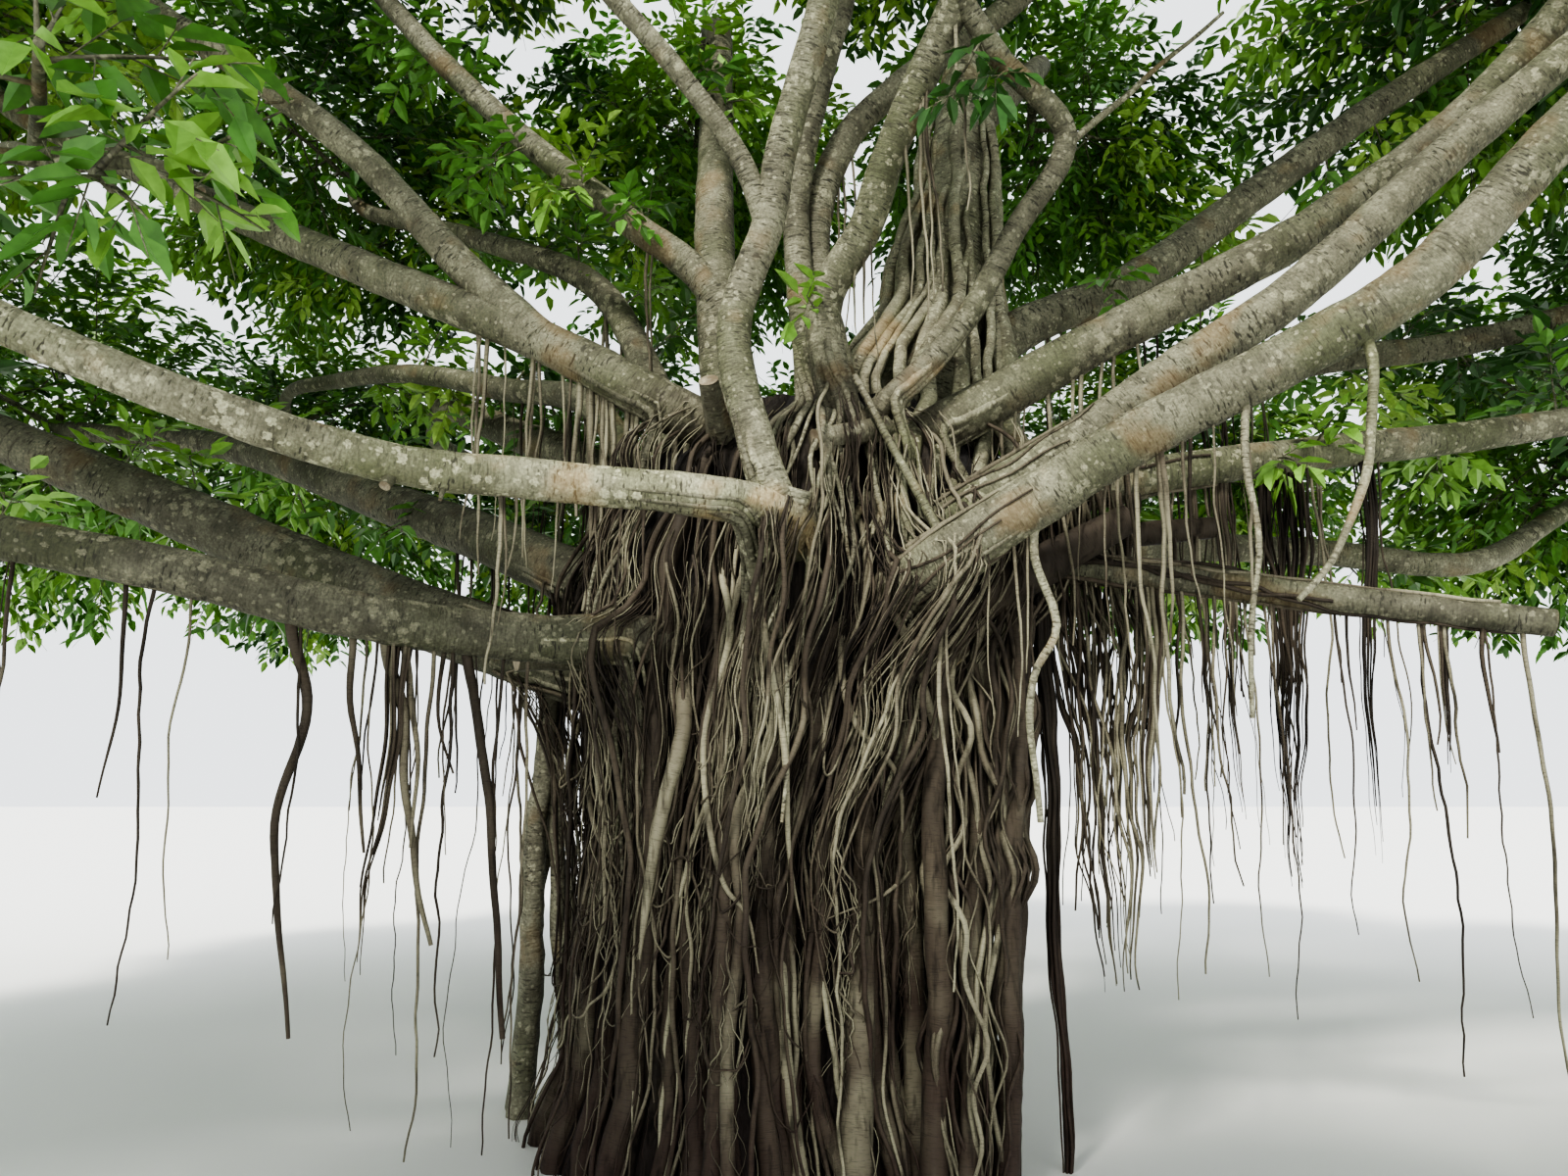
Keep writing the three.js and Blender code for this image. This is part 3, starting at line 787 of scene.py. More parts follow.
class Tubes:
    """Turns strands into tubes with relief in their bark."""

    # Metres of noise between one strand and the next.
    STRAND_GAP = 7.3
    # Low enough not to lift any point but those under the ground.
    FLOOR = (-100, -100, 0)

    def __init__(self) -> None:
        """Builds the tree."""
        self.tree = self._tree()

    def _tree(self) -> NodeTree:
        """Builds the tree that turns strands into tubes.

        Returns:
            The tree: a ring at each point of a strand, pushed in and out by lumps and rings.
        """
        labels = ("Lump Depth", "Lump Scale", "Ring Depth", "Ring Spacing")
        inputs = {"Strands": (SHAPE, None), "Sides": (WHOLE, 6), **{label: (NUMBER, 0.1) for label in labels}}
        inputs["Bark"] = ("NodeSocketMaterial", None)
        graph, start, end = socketed("barked_tubes", "GeometryNodeTree", inputs, {"Tubes": SHAPE})
        girth, along = graph.stored("girth"), graph.stored("along")
        lines = graph.out("GeometryNodeMeshToCurve", {"Mesh": start["Strands"]})
        outline = graph.out("GeometryNodeCurvePrimitiveCircle", {"Resolution": start["Sides"], "Radius": 1.0})
        inputs = {"Curve": lines, "Profile Curve": outline, "Scale": girth, "Fill Caps": True}
        tubes = graph.out("GeometryNodeCurveToMesh", inputs)
        place = graph.out("GeometryNodeInputPosition")
        lumps = graph.noise(place, start["Lump Scale"], 3, along)
        lumps = graph.times(graph.maths("SUBTRACT", lumps, 0.5), start["Lump Depth"])
        steps = graph.maths("DIVIDE", along, start["Ring Spacing"])
        rings = graph.noise(graph.scaled(place, 0.5), 1.0, 1, steps)
        rings = graph.times(graph.maths("SUBTRACT", rings, 0.5), start["Ring Depth"])
        out = graph.times(graph.plus(lumps, rings), girth)
        offset = graph.scaled(graph.out("GeometryNodeInputNormal"), out)
        moved = graph.out("GeometryNodeSetPosition", {"Geometry": tubes, "Offset": offset})
        raised = graph.out("ShaderNodeVectorMath", {0: place, 1: self.FLOOR}, operation="MAXIMUM")
        stood = graph.out("GeometryNodeSetPosition", {"Geometry": moved, "Position": raised})
        smooth = graph.out("GeometryNodeSetShadeSmooth", {0: stood})
        real = graph.out("GeometryNodeRealizeInstances", {"Geometry": smooth})
        dressed = graph.out("GeometryNodeSetMaterial", {"Geometry": real, "Material": start["Bark"]})
        graph.feed(end, {"Tubes": dressed})
        return graph.tree

    def grow(self, name: str, strands: list[Strand], material: Material, relief: Relief) -> Object:
        """Makes a piece of strands.

        Args:
            name: The piece's name.
            strands: The strands.
            material: Their bark.
            relief: Their sides, lumps and rings.

        Returns:
            One piece made of many strands.
        """
        points = np.vstack([s.points for s in strands])
        girth = np.concatenate([s.girth for s in strands]).astype(np.float32)
        tone = np.concatenate([np.full(len(s.points), s.tone, np.float32) for s in strands])
        runs = [np.linalg.norm(np.diff(s.points, axis=0), axis=1) for s in strands]
        starts = [i * self.STRAND_GAP for i in range(len(runs))]
        along = np.concatenate([np.append(start, start + np.cumsum(r)) for start, r in zip(starts, runs)])
        last = np.cumsum([len(s.points) for s in strands])
        first = np.arange(len(points) - 1)
        first = first[~np.isin(first + 1, last)]
        values = {"girth": girth, "tone": tone, "along": along.astype(np.float32)}
        settings = {label.replace("_", " ").title(): value for label, value in vars(relief).items()}
        mesh = point_mesh(name, points, np.stack([first, first + 1], axis=1), values)
        return modelled(name, mesh, self.tree, {**settings, "Bark": material})

    def grow_many(
        self, name: str, groups: list[Group], material: Material, slot: str, relief: Relief
    ) -> None:
        """Makes as many pieces as keep each under the limit of triangles.

        Args:
            name: The pieces' name, to which a number is added.
            groups: The strands.
            material: Their bark.
            slot: Not used.
            relief: Their sides, lumps and rings.
        """
        sizes = [sum(len(s.points) * 2 * relief.sides for s in strands) for strands, _ in groups]
        rows = ((strands, size, nodes) for (strands, nodes), size in zip(groups, sizes))
        for number, strands, nodes in in_lots(rows):
            settled(self.grow(f"{name}_{number}", strands, material, relief), nodes)


# The wood.


@dataclass(frozen=True)
class Upright:
    """A pillar given by level rings from low to high: height, centre x and y, half width x and y."""

    rings: tuple[Row, ...]

    def ring(self, z: Array) -> Array:
        """Reads the pillar's outline.

        Args:
            z: Heights.

        Returns:
            Centre x and y and half width x and y.
        """
        table = np.array(self.rings)
        i = np.clip(np.searchsorted(table[:, 0], z), 1, len(table) - 1)
        low, high = table[i - 1], table[i]
        t = np.clip((z - low[..., 0]) / (high[..., 0] - low[..., 0]), 0, 1)[..., None]
        t = t * t * (3 - 2 * t)
        return low[..., 1:] * (1 - t) + high[..., 1:] * t

    def point(self, angle: Array, z: Array, out: Array | float = 0.0, share: Array | float = 1.0) -> Array:
        """Places points on the pillar.

        Args:
            angle: Angles round it, in radians.
            z: Heights.
            out: How far out of the skin, in metres.
            share: Share of the half width to stand at.

        Returns:
            Points on the pillar's skin.
        """
        x, y, rx, ry = np.moveaxis(self.ring(z), -1, 0)
        x, y = x + np.cos(angle) * (rx * share + out), y + np.sin(angle) * (ry * share + out)
        return np.stack([x, y, z + 0 * angle], axis=-1)


TRUNK = Upright((
    (0, -0.21, 0, 0.98, 0.96), (0.45, -0.22, 0, 0.84, 0.86), (1.3, -0.2, 0, 0.8, 0.85),
    (2, -0.08, 0, 0.94, 0.9), (2.6, 0.06, 0, 1.12, 0.94), (3.15, 0.09, 0.02, 0.96, 0.82),
    (3.7, 0.17, 0.06, 0.52, 0.47),
))


@dataclass(frozen=True)
class Limb:
    """One limb: its foot, or its carrier and a share of it, its girth at foot and tip, and its legs."""

    name: str
    start: tuple
    girth: Pair
    legs: tuple[Row, ...]


@dataclass(frozen=True)
class Mass:
    """One mass of leaves: the limb that feeds it, its centre and half widths, and where it grows."""

    name: str
    limb: str
    centre: Row
    reach: Row
    at: float = 1.0

    @property
    def mean_reach(self) -> float:
        """Returns the mean half width."""
        return sum(self.reach) / 3


LIMBS = tuple(Limb(*row) for row in (
    ("bough_left_front", (-0.1, -1.19, 2.78), (0.094, 0.056),
     ((0.95, 192, 5), (0.6, 200, 1), (0.7, 206, 11), (0.65, 204, 18), (1.4, 205, 22),
      (1.3, 208, 24))),
    ("bough_left_low", (-0.62, -0.72, 2.29), (0.116, 0.062),
     ((0.65, 197, 0), (0.7, 203, 5), (0.7, 197, 12), (0.7, 197, 9), (1.3, 192, 12),
      (1.5, 176, 22))),
    ("bough_left_low_back", (-0.9, 0.1, 2.18), (0.2, 0.1),
     ((0.85, 180, 18), (0.7, 184, 21), (0.85, 184, 23), (1.1, 186, 22), (1.1, 184, 20))),
    ("bough_left_mid", (-0.9, 0.2, 2.64), (0.175, 0.072),
     ((1, 156, 24), (0.9, 151, 21), (1.65, 153, 21), (1.5, 157, 12))),
    ("bough_left_high", (-0.56, -0.46, 3.45), (0.126, 0.058),
     ((0.8, 180, 29), (0.7, 180, 23), (1.2, 169, 26), (1.5, 173, 27))),
    ("fork_left_high", ("bough_left_high", 0.29), (0.088, 0.052),
     ((0.6, 186, 44), (0.7, 186, 47), (0.6, 192, 36), (0.7, 192, 31), (0.9, 205, 30))),
    ("bough_back_left_up", (-0.24, 0.42, 3.35), (0.118, 0.054),
     ((1.25, 160, 77), (0.75, 180, 42), (0.8, 180, 40), (0.65, 190, 42), (0.9, 185, 48))),
    ("bough_back_left_a", (-0.52, 0.56, 3.2), (0.118, 0.06),
     ((1, 138, 62), (1.1, 140, 55), (1.1, 155, 29), (1.2, 151, 24))),
    ("bough_back_left_b", (-0.7, 0.48, 3.05), (0.1, 0.056),
     ((1.1, 150, 55), (0.9, 143, 20), (1.1, 146, 18), (1.4, 141, 10))),
    ("bough_back_left_c", (-0.56, 0.68, 2.88), (0.15, 0.08),
     ((1.15, 146, 42), (1.05, 140, 26), (1.05, 134, 24), (1.2, 112, 8))),
    ("bough_back_centre", (0.06, 0.76, 2.85), (0.165, 0.08),
     ((1.2, 96, 34), (1.3, 90, 26), (1.4, 84, 14), (1, 82, 8))),
    ("bough_back_right", (0.62, 0.64, 2.82), (0.155, 0.078),
     ((1.2, 52, 32), (1.3, 56, 26), (1.4, 60, 18), (0.8, 58, 12))),
    ("bough_front_crook", (-0.08, -1.17, 2.76), (0.084, 0.048),
     ((0.39, 201, 69), (0.49, 180, 80), (0.49, 342, 71), (0.32, 317, 77), (0.42, 320, 68),
      (0.32, 309, 66), (1.4, 278, 48), (1.3, 262, 26), (0.7, 262, 6))),
    ("fork_front_thin", ("bough_front_crook", 0.31), (0.044, 0.034),
     ((0.33, 205, 66), (0.43, 210, 46), (0.6, 207, 41), (1.5, 222, 38), (1.5, 240, 24),
      (0.5, 240, 8))),
    ("bough_up_back", (-0.3, 0.5, 3.48), (0.165, 0.07),
     ((1.21, 155, 80), (1.1, 98, 79), (0.9, 90, 76), (0.9, 98, 42))),
    ("bough_up_right", (0.23, -0.56, 3.3), (0.094, 0.05),
     ((0.65, 220, 76), (0.45, 330, 58), (0.35, 315, 64), (0.75, 315, 55), (1.3, 302, 40),
      (1.3, 294, 22), (0.8, 292, 4))),
    ("bough_up_right_b", (0.22, -0.24, 3.5), (0.098, 0.05),
     ((1.05, 200, 82), (0.55, 356, 72), (0.38, 349, 45), (0.85, 348, 34), (1, 350, 52))),
    ("bough_up_mid", (0.09, -0.33, 3.48), (0.08, 0.048),
     ((1.15, 210, 84), (0.75, 322, 76), (0.45, 315, 69), (1.3, 262, 58))),
    ("leader", (0.56, 0.2, 3.15), (0.4, 0.07),
     ((0.6, 50, 72), (0.85, 28, 76), (0.9, 39, 80), (1.3, 60, 80))),
    ("bough_elbow", (0.33, -0.7, 3.36), (0.06, 0.046),
     ((0.58, 353, 45), (0.56, 340, 58), (0.5, 336, 59), (0.52, 204, 41), (0.9, 215, 50),
      (1.3, 235, 64))),
    ("fork_back_up", ("leader", 0.72), (0.092, 0.056),
     ((0.6, 20, 46), (0.8, 60, 42), (1, 78, 30))),
    ("bough_right_front", (0.52, -0.96, 2.56), (0.13, 0.076),
     ((0.55, 341, 30), (0.6, 342, 29), (0.5, 335, 22), (0.6, 337, 26), (0.9, 332, 42),
      (1.2, 325, 28), (0.7, 320, 18))),
    ("bough_right_front_b", (0.6, -0.74, 2.8), (0.12, 0.07),
     ((0.7, 347, 30), (0.65, 349, 34), (0.5, 346, 31), (1.15, 346, 40), (1.5, 340, 36))),
    ("bough_right_high", (0.57, -0.48, 3.31), (0.126, 0.072),
     ((0.7, 350, 28), (0.5, 346, 26), (0.9, 346, 25), (0.85, 343, 34), (1.15, 336, 46))),
    ("bough_right_mid", (0.7, 0.33, 3.15), (0.15, 0.068),
     ((1.14, 8, 65), (0.86, 0, 27), (0.91, 0, 36), (0.94, 353, 35), (0.85, 352, 32))),
    ("bough_right_low", (0.88, -0.42, 2.96), (0.112, 0.062),
     ((0.9, 3, 14), (0.8, 4, 9), (1.2, 4, 8), (1.5, 355, 10))),
    ("bough_right_far", (0.78, 0.38, 3.02), (0.118, 0.062),
     ((1.9, 17, 28), (0.75, 351, 23), (0.8, 345, 3), (0.65, 341, 8), (0.9, 345, 18))),
    ("bough_right_cut", (0.86, -0.44, 2.7), (0.074, 0.058),
     ((0.8, 342, -6), (0.85, 340, -12), (0.75, 342, -10))),
    ("bough_right_back_low", (0.82, 0.42, 2.76), (0.12, 0.064),
     ((1.1, 30, 18), (1.7, 13, 2), (0.9, 354, -6), (1, 20, 24))),
))
MASSES = tuple(Mass(*row) for row in (
    ("leaves_left_front", "bough_left_front", (-6.1, -3.9, 5), (2.1, 2.05, 1.7)),
    ("leaves_left", "bough_left_low_back", (-6.85, -0.35, 4.6), (2, 2.25, 1.95)),
    ("leaves_left_back", "bough_left_mid", (-6.5, 3.15, 4.7), (2.05, 2.1, 2)),
    ("leaves_back_left", "bough_back_left_b", (-4.85, 5.55, 4.85), (2, 2, 2.1)),
    ("leaves_back_a", "bough_back_left_c", (-2.15, 6.55, 4.85), (2, 1.9, 2.15)),
    ("leaves_back_b", "bough_back_centre", (0.95, 6.8, 4.9), (2, 1.9, 2.15)),
    ("leaves_back_right", "bough_back_right", (4, 5.8, 4.9), (2.05, 2, 2.05)),
    ("leaves_right_back", "bough_right_back_low", (6.45, 3.15, 4.6), (2.05, 2.1, 2)),
    ("leaves_right", "bough_right_low", (7, -0.45, 4.65), (2, 2.2, 1.9)),
    ("leaves_right_front", "bough_right_front", (5.65, -4, 5.4), (2.1, 2.05, 1.65)),
    ("leaves_front_right", "bough_up_right", (2.9, -6, 5.8), (2.05, 1.95, 1.55)),
    ("leaves_front", "bough_front_crook", (-0.35, -6.5, 5.85), (2, 1.85, 1.55)),
    ("leaves_front_left", "fork_front_thin", (-3.5, -5.9, 5.65), (2.05, 1.95, 1.6)),
    ("leaves_upper_left", "bough_left_high", (-5.3, 0.1, 6.85), (2, 2.1, 1.7)),
    ("leaves_upper_left_front", "fork_left_high", (-4.25, -2.95, 7.05), (2.05, 2, 1.6)),
    ("leaves_upper_back_left", "bough_back_left_a", (-4, 3.3, 7.15), (2.05, 2.05, 1.75)),
    ("leaves_upper_back", "bough_up_back", (-0.95, 4.2, 7.45), (2.05, 2.05, 1.75)),
    ("leaves_upper_back_right", "fork_back_up", (2.2, 3.9, 7.35), (2.05, 2.05, 1.75)),
    ("leaves_upper_right", "bough_right_mid", (4.95, 1.15, 6.95), (2.05, 2.1, 1.65)),
    ("leaves_upper_right_front", "bough_right_high", (4.4, -2.1, 7.15), (2.05, 2.05, 1.65)),
    ("leaves_top_left", "bough_back_left_up", (-2.45, 0.6, 8.45), (2.2, 2.2, 1.5)),
    ("leaves_top", "leader", (1.2, 1.5, 8.8), (2.2, 2.15, 1.45)),
    ("leaves_top_front", "bough_up_mid", (0.7, -2.1, 8.4), (2.4, 2.15, 1.5)),
    ("leaves_near_left", "bough_left_front", (-1.68, -3.5, 3.03), (0.56, 0.45, 0.38), 0.6),
))
# How bright each limb's bark is painted for the light or shade that it stands in, 0 shaded to 1 lit; the
# others have 0.5.
LIMB_LIGHT_AND_SHADE = {
    "bough_left_front": 0.95, "bough_front_crook": 0.55, "fork_front_thin": 0.5, "bough_left_high": 0.6,
    "fork_left_high": 0.66, "bough_left_low": 0.12, "bough_left_low_back": 0.15, "bough_left_mid": 0.22,
    "bough_up_right": 0.58, "bough_elbow": 0.46, "bough_right_front": 0.42, "bough_right_high": 0.45,
    "leader": 0.8, "bough_right_cut": 0.2,
}
# The one limb that is cut short.
CUT_LIMB = "bough_right_cut"


@dataclass
class Boughs:
    """The limbs, each from the trunk's heart or its carrier out into its mass of leaves."""

    rows: tuple[Limb, ...]
    trunk: Upright
    heart: float = 0.55
    heart_drop: float = 0.26
    collar: float = 0.28
    collar_reach: float = 0.26
    ring_step: float = 0.052
    tip_leg: float = 0.7
    tip_girth: float = 0.012
    tip_spread: float = 1.5
    foot_reach: float = 1.3
    foot_beads: int = 16
    root_depth: float = 0.7
    lines: dict[str, Path] = field(default_factory=dict)

    def __post_init__(self) -> None:
        """Lays every limb's line, and beads along the feet of those that leave the trunk."""
        places, sizes = [], []
        for limb in self.rows:
            line = self.lines[limb.name] = self._line(limb)
            if not isinstance(limb.start[0], str):
                share = np.linspace(0, self.foot_reach / line.length, self.foot_beads)
                places.append(line.share(share))
                sizes.append(self.girth(limb, share))
        self.foot_places, self.foot_sizes = np.vstack(places), np.concatenate(sizes)

    def buried(self, points: Array, girth: float) -> Array:
        """Tests points against the limbs' feet.

        Args:
            points: The points.
            girth: Half thickness of what runs through them.

        Returns:
            Which points lie in the foot of a limb.
        """
        gaps = np.linalg.norm(points[..., None, :] - self.foot_places, axis=-1)
        return np.any(gaps < self.foot_sizes + girth, axis=-1)

    def named(self, name: str) -> Limb:
        """Returns a limb by its name."""
        return next(limb for limb in self.rows if limb.name == name)

    def _line(self, limb: Limb) -> Path:
        """Lays a limb's centre line.

        Args:
            limb: The limb.

        Returns:
            A limb's centre line, laid as the part lays it.
        """
        if isinstance(limb.start[0], str):
            points = [self.lines[limb.start[0]].share(limb.start[1])]
        else:
            foot = np.array(limb.start)
            x, y, _, _ = self.trunk.ring(np.array(min(foot[2], self.trunk.rings[-1][0])))
            heart = np.array([x, y, foot[2] - self.heart_drop])
            points = [foot + (heart - foot) * self.heart, foot]
        for length, azimuth, pitch in limb.legs:
            points.append(points[-1] + heading(azimuth, pitch) * length)
        return Path(np.array(points))

    def girth(self, limb: Limb, share: Array) -> Array:
        """Returns a limb's half thickness at shares of its length."""
        swell = self.collar * np.exp(-share * self.lines[limb.name].length / self.collar_reach)
        return blend(limb.girth, share) * (1 + swell)

    def strand(self, limb: Limb, stem: Bow | None, stem_girth: Pair) -> Strand:
        """Joins a limb and its stem.

        Args:
            limb: The limb.
            stem: The stem of its mass, or nothing, where it then thins out to a tip.
            stem_girth: The stem's half thickness at both ends.

        Returns:
            A limb with the stem that carries on from it, as one strand.
        """
        line = self.lines[limb.name]
        share = line.steps(self.ring_step)
        points, girth = line.share(share), self.girth(limb, share)
        if stem is None and limb.name != CUT_LIMB:
            end, leg = points[-1], line.heading(1) * self.tip_leg
            stem = Bow([end, end + leg / 2, end + leg])
            stem_girth = (girth[-1], self.tip_girth)
        if stem is not None:
            rest = np.linspace(0, 1, math.ceil(stem.length / self.ring_step / self.tip_spread) + 1)[1:]
            points = np.vstack([points, stem.at(rest)])
            girth = np.concatenate([girth, blend(stem_girth, rest)])
        # The limb's tone is its painted light and shade.
        return Strand(points, girth, LIMB_LIGHT_AND_SHADE.get(limb.name, 0.5))

    def skin(self, limb: Limb, shares: Array, side: Array | float, out: Array | float) -> Array:
        """Places points on a limb.

        Args:
            limb: The limb.
            shares: Shares of its length.
            side: Angle round it from straight under it, in radians, at each or at all.
            out: How far out of the bark, at each or at all.

        Returns:
            Points along a limb's bark.
        """
        line = self.lines[limb.name]
        along = unit(line.share(shares + 1e-3) - line.share(shares - 1e-3))
        down = unit(along * along[:, 2:] - UP)
        across = np.cross(along, down)
        side = np.broadcast_to(side, shares.shape)[:, None]
        spoke = down * np.cos(side) + across * np.sin(side)
        return line.share(shares) + spoke * (self.girth(limb, shares) + out)[:, None]

    def under(self, name: str, share: float) -> Array:
        """Returns the point under a limb, just inside its bark, at a share of its length."""
        girth = float(self.girth(self.named(name), np.array(share)))
        return self.lines[name].share(share) - UP * girth * self.root_depth


def waves(rng: Rng, x: Array, rows: tuple[Pair, ...]) -> Array:
    """Adds up random waves.

    Args:
        rng: The random source.
        x: Where to read it.
        rows: Height and length of each wave.

    Returns:
        A sum of random waves.
    """
    total = np.zeros_like(x)
    for height, length in rows:
        crest = height * rng.uniform(0.5, 1.3)
        turns = x * TURN / (length * rng.uniform(0.75, 1.3))
        total = total + crest * np.sin(turns + rng.uniform(*ANY_ANGLE))
    return total


def kinks(rng: Rng, x: Array, height: float, length: float) -> Array:
    """Draws a crooked line.

    Args:
        rng: The random source.
        x: Where to read it.
        height: Spread of the bends' offsets.
        length: Mean run between bends.

    Returns:
        A line of straight runs that bend at random places.
    """
    bends = np.arange(x.min() - length, x.max() + 2 * length, length)
    bends = bends + rng.uniform(-0.4, 0.4, len(bends)) * length
    return np.interp(x, bends, rng.normal(0, height, len(bends)))


class Shade(Enum):
    """The shades that roots come in, as a range of tones."""

    DARK = (0.0, 0.3)
    MIXED = (0.2, 0.85)
    PALE = (0.65, 1.0)

    def draw(self, rng: Rng) -> float:
        """Returns a tone of this shade."""
        return float(rng.uniform(*self.value))


@dataclass
class Trunk:
    """The trunk's body of fused roots, under the loose ones that clothe it."""

    outline: Upright
    height: float = 3.62
    inset: float = 0.075
    sides: int = 340
    rows: int = 58
    flutes: tuple[Row, ...] = ((8, 0.065, 0.6, 0.0), (13, 0.04, 2.1, 0.5))
    ridges: tuple[Row, ...] = ((23, 0.035, 0.3), (59, 0.03, 1.9))
    ridge_tones: tuple[Row, ...] = ((11, 0.16, 0.4), (37, 0.14, 2.2), (61, 0.12, 5.0))
    ridge_power: float = 0.6
    body_tone: float = 0.25
    crown_rise: float = 0.05
    top_sink: float = 0.14
    step: float = 0.05
    fine_step: float = 0.04
    bow_points: int = 26
    bow_bends: tuple[Pair, ...] = ((0.012, 0.3),)

    def grain(self, angle: Array, z: Array) -> Array:
        """Returns how far the roots' common flow turns from an angle at a height, in radians."""
        turn = 0.035 * np.sin(7 * angle + 0.6 * z) + 0.022 * np.sin(13 * angle - 1.1 * z + 2)
        return turn + 0.015 * np.sin(23 * angle + 1.7 * z + 4) + 0.03 * np.sin(1.9 * z + 3 * angle)

    def skin(self, angle: Array, z: Array, out: Array | float) -> Array:
        """Places points on the trunk.

        Args:
            angle: Angles round it, in radians.
            z: Heights.
            out: How far out of the bark.

        Returns:
            Points on the fluted trunk.
        """
        rise = z / self.outline.rings[-1][0]
        swells = (d * np.cos(n * angle + phase + twist * rise) for n, d, phase, twist in self.flutes)
        return self.outline.point(angle, z, out, 1 + sum(swells))

    def body(self) -> Mesh:
        """Builds the trunk's body.

        Returns:
            The body: a closed column, ridged where roots have fused.
        """
        around = np.linspace(0, TURN, self.sides, endpoint=False)
        angle, z = np.meshgrid(around, np.linspace(0, self.height, self.rows))
        flow = angle + self.grain(angle, z)
        ridges = (d * np.abs(np.sin(n * flow / 2 + phase)) ** self.ridge_power for n, d, phase in self.ridges)
        tone = self.body_tone + sum(d * np.sin(n * flow + phase) for n, d, phase in self.ridge_tones)
        points = self.skin(angle, z, sum(ridges) - self.inset).reshape(-1, 3)
        low, high = points[: self.sides].mean(axis=0), points[-self.sides :].mean(axis=0)
        points = np.vstack([points, low, high + UP * self.crown_rise])
        faces = []
        for row in range(self.rows - 1):
            for i in range(self.sides):
                j = (i + 1) % self.sides
                a, b = row * self.sides, (row + 1) * self.sides
                faces.append((a + i, a + j, b + j, b + i))
        top = (self.rows - 1) * self.sides
        for i in range(self.sides):
            j = (i + 1) % self.sides
            faces.append((j, i, len(points) - 2))
            faces.append((top + i, top + j, len(points) - 1))
        mesh = bpy.data.meshes.new("trunk_body")
        mesh.from_pydata(points.tolist(), [], faces)
        mesh.shade_smooth()
        shades = mesh.attributes.new("tone", "FLOAT", "POINT")
        shades.data.foreach_set("value", np.append(np.clip(tone, 0, 1), (0, 0)).astype(np.float32))
        return mesh

    def root(
        self, rng: Rng, angle: float, heights: Pair, girths: Pair, tone: float, loose: float = 1.0,
        out: float = 0.0, host: Upright | None = None,
    ) -> Strand:
        """Runs a root down a pillar.

        Args:
            rng: The random source.
            angle: Where round the pillar, in radians.
            heights: Heights of its top and foot.
            girths: Half thickness at both.
            tone: Its shade.
            loose: How much it wanders.
            out: How far it stands out of the skin.
            host: Another pillar than the trunk.

        Returns:
            One root that runs down a pillar.
        """
        pillar = host or self.outline
        place = pillar.point if host else self.skin
        z = np.linspace(*heights, max(8, int((heights[0] - heights[1]) / self.step)))
        width = pillar.ring(z)[:, 2:].mean(axis=1)
        wander = waves(rng, z, ((0.04, 1.3), (0.012, 0.5), (0.004, 0.2))) * loose / width
        path = angle + wander + (self.grain(np.full_like(z, angle), z) if host is None else 0)
        fall = np.linspace(0, 1, len(z))
        lift = out + waves(rng, z, ((0.015, 0.9), (0.005, 0.3))) * loose - 0.05 * np.exp(-fall * 14)
        return Strand(place(path, z, lift), blend(girths, fall), tone)

    def festoon(self, rng: Rng, span: Pair, heights: Pair, sag: float, girth: float) -> Strand:
        """Hangs a root in a bow.

        Args:
            rng: The random source.
            span: Its two angles, in radians.
            heights: Its two heights.
            sag: How far its middle hangs below the line between them.
            girth: Half thickness.

        Returns:
            A root that hangs in a bow between two places on the trunk.
        """
        t = np.linspace(0, 1, self.bow_points)
        angle = blend(span, t) + waves(rng, t, self.bow_bends)
        z = blend(heights, t) - sag * 4 * t * (1 - t) + waves(rng, t, self.bow_bends)
        out = 0.05 + rng.uniform(0.05, 0.12) * np.sin(math.pi * t)
        return Strand(self.skin(angle, z, out), girth * (1 - 0.4 * t), Shade.MIXED.draw(rng))

    def drawn(self, marks: tuple[Row, ...], girth: Pair, tone: float, out: float = 0.03) -> Strand:
        """Draws a root by its marks.

        Args:
            marks: An angle in degrees and a height for each.
            girth: Half thickness at top and foot.
            tone: Its shade.
            out: How far it stands out of the bark.

        Returns:
            A root through marks on the trunk.
        """
        table = np.array(marks)
        line = Path(self.skin(np.radians(table[:, 0]), table[:, 1], out))
        share = line.steps(self.fine_step, 2)
        points = line.share(share)
        inward = unit(self.skin(np.radians(table[:1, 0]), table[:1, 1], -1.0) - points[:1])
        sunk = (out + girth[0] + self.inset) * np.exp(-share * line.length / self.top_sink)
        thin = 1 if table[-1, 1] == 0 else 1 - 0.8 * share**5
        return Strand(points + inward * sunk[:, None], blend(girth, share) * thin, tone)


@dataclass(frozen=True)
class Fringe:
    """Roots that hang from a stretch of one limb: shares of it, how many, lengths and half thickness."""

    limb: str
    stretch: Pair
    count: int
    lengths: Pair
    girths: Pair = (0.004, 0.012)
    shade: Shade = Shade.MIXED


@dataclass(frozen=True)
class Bundle:
    """Roots that run down close together: the node, if any, top, foot, half widths at both, and how many."""

    node: str
    top: Row
    foot: Row
    wide: Pair
    deep: Pair
    count: int
    girths: Pair
    shade: Shade


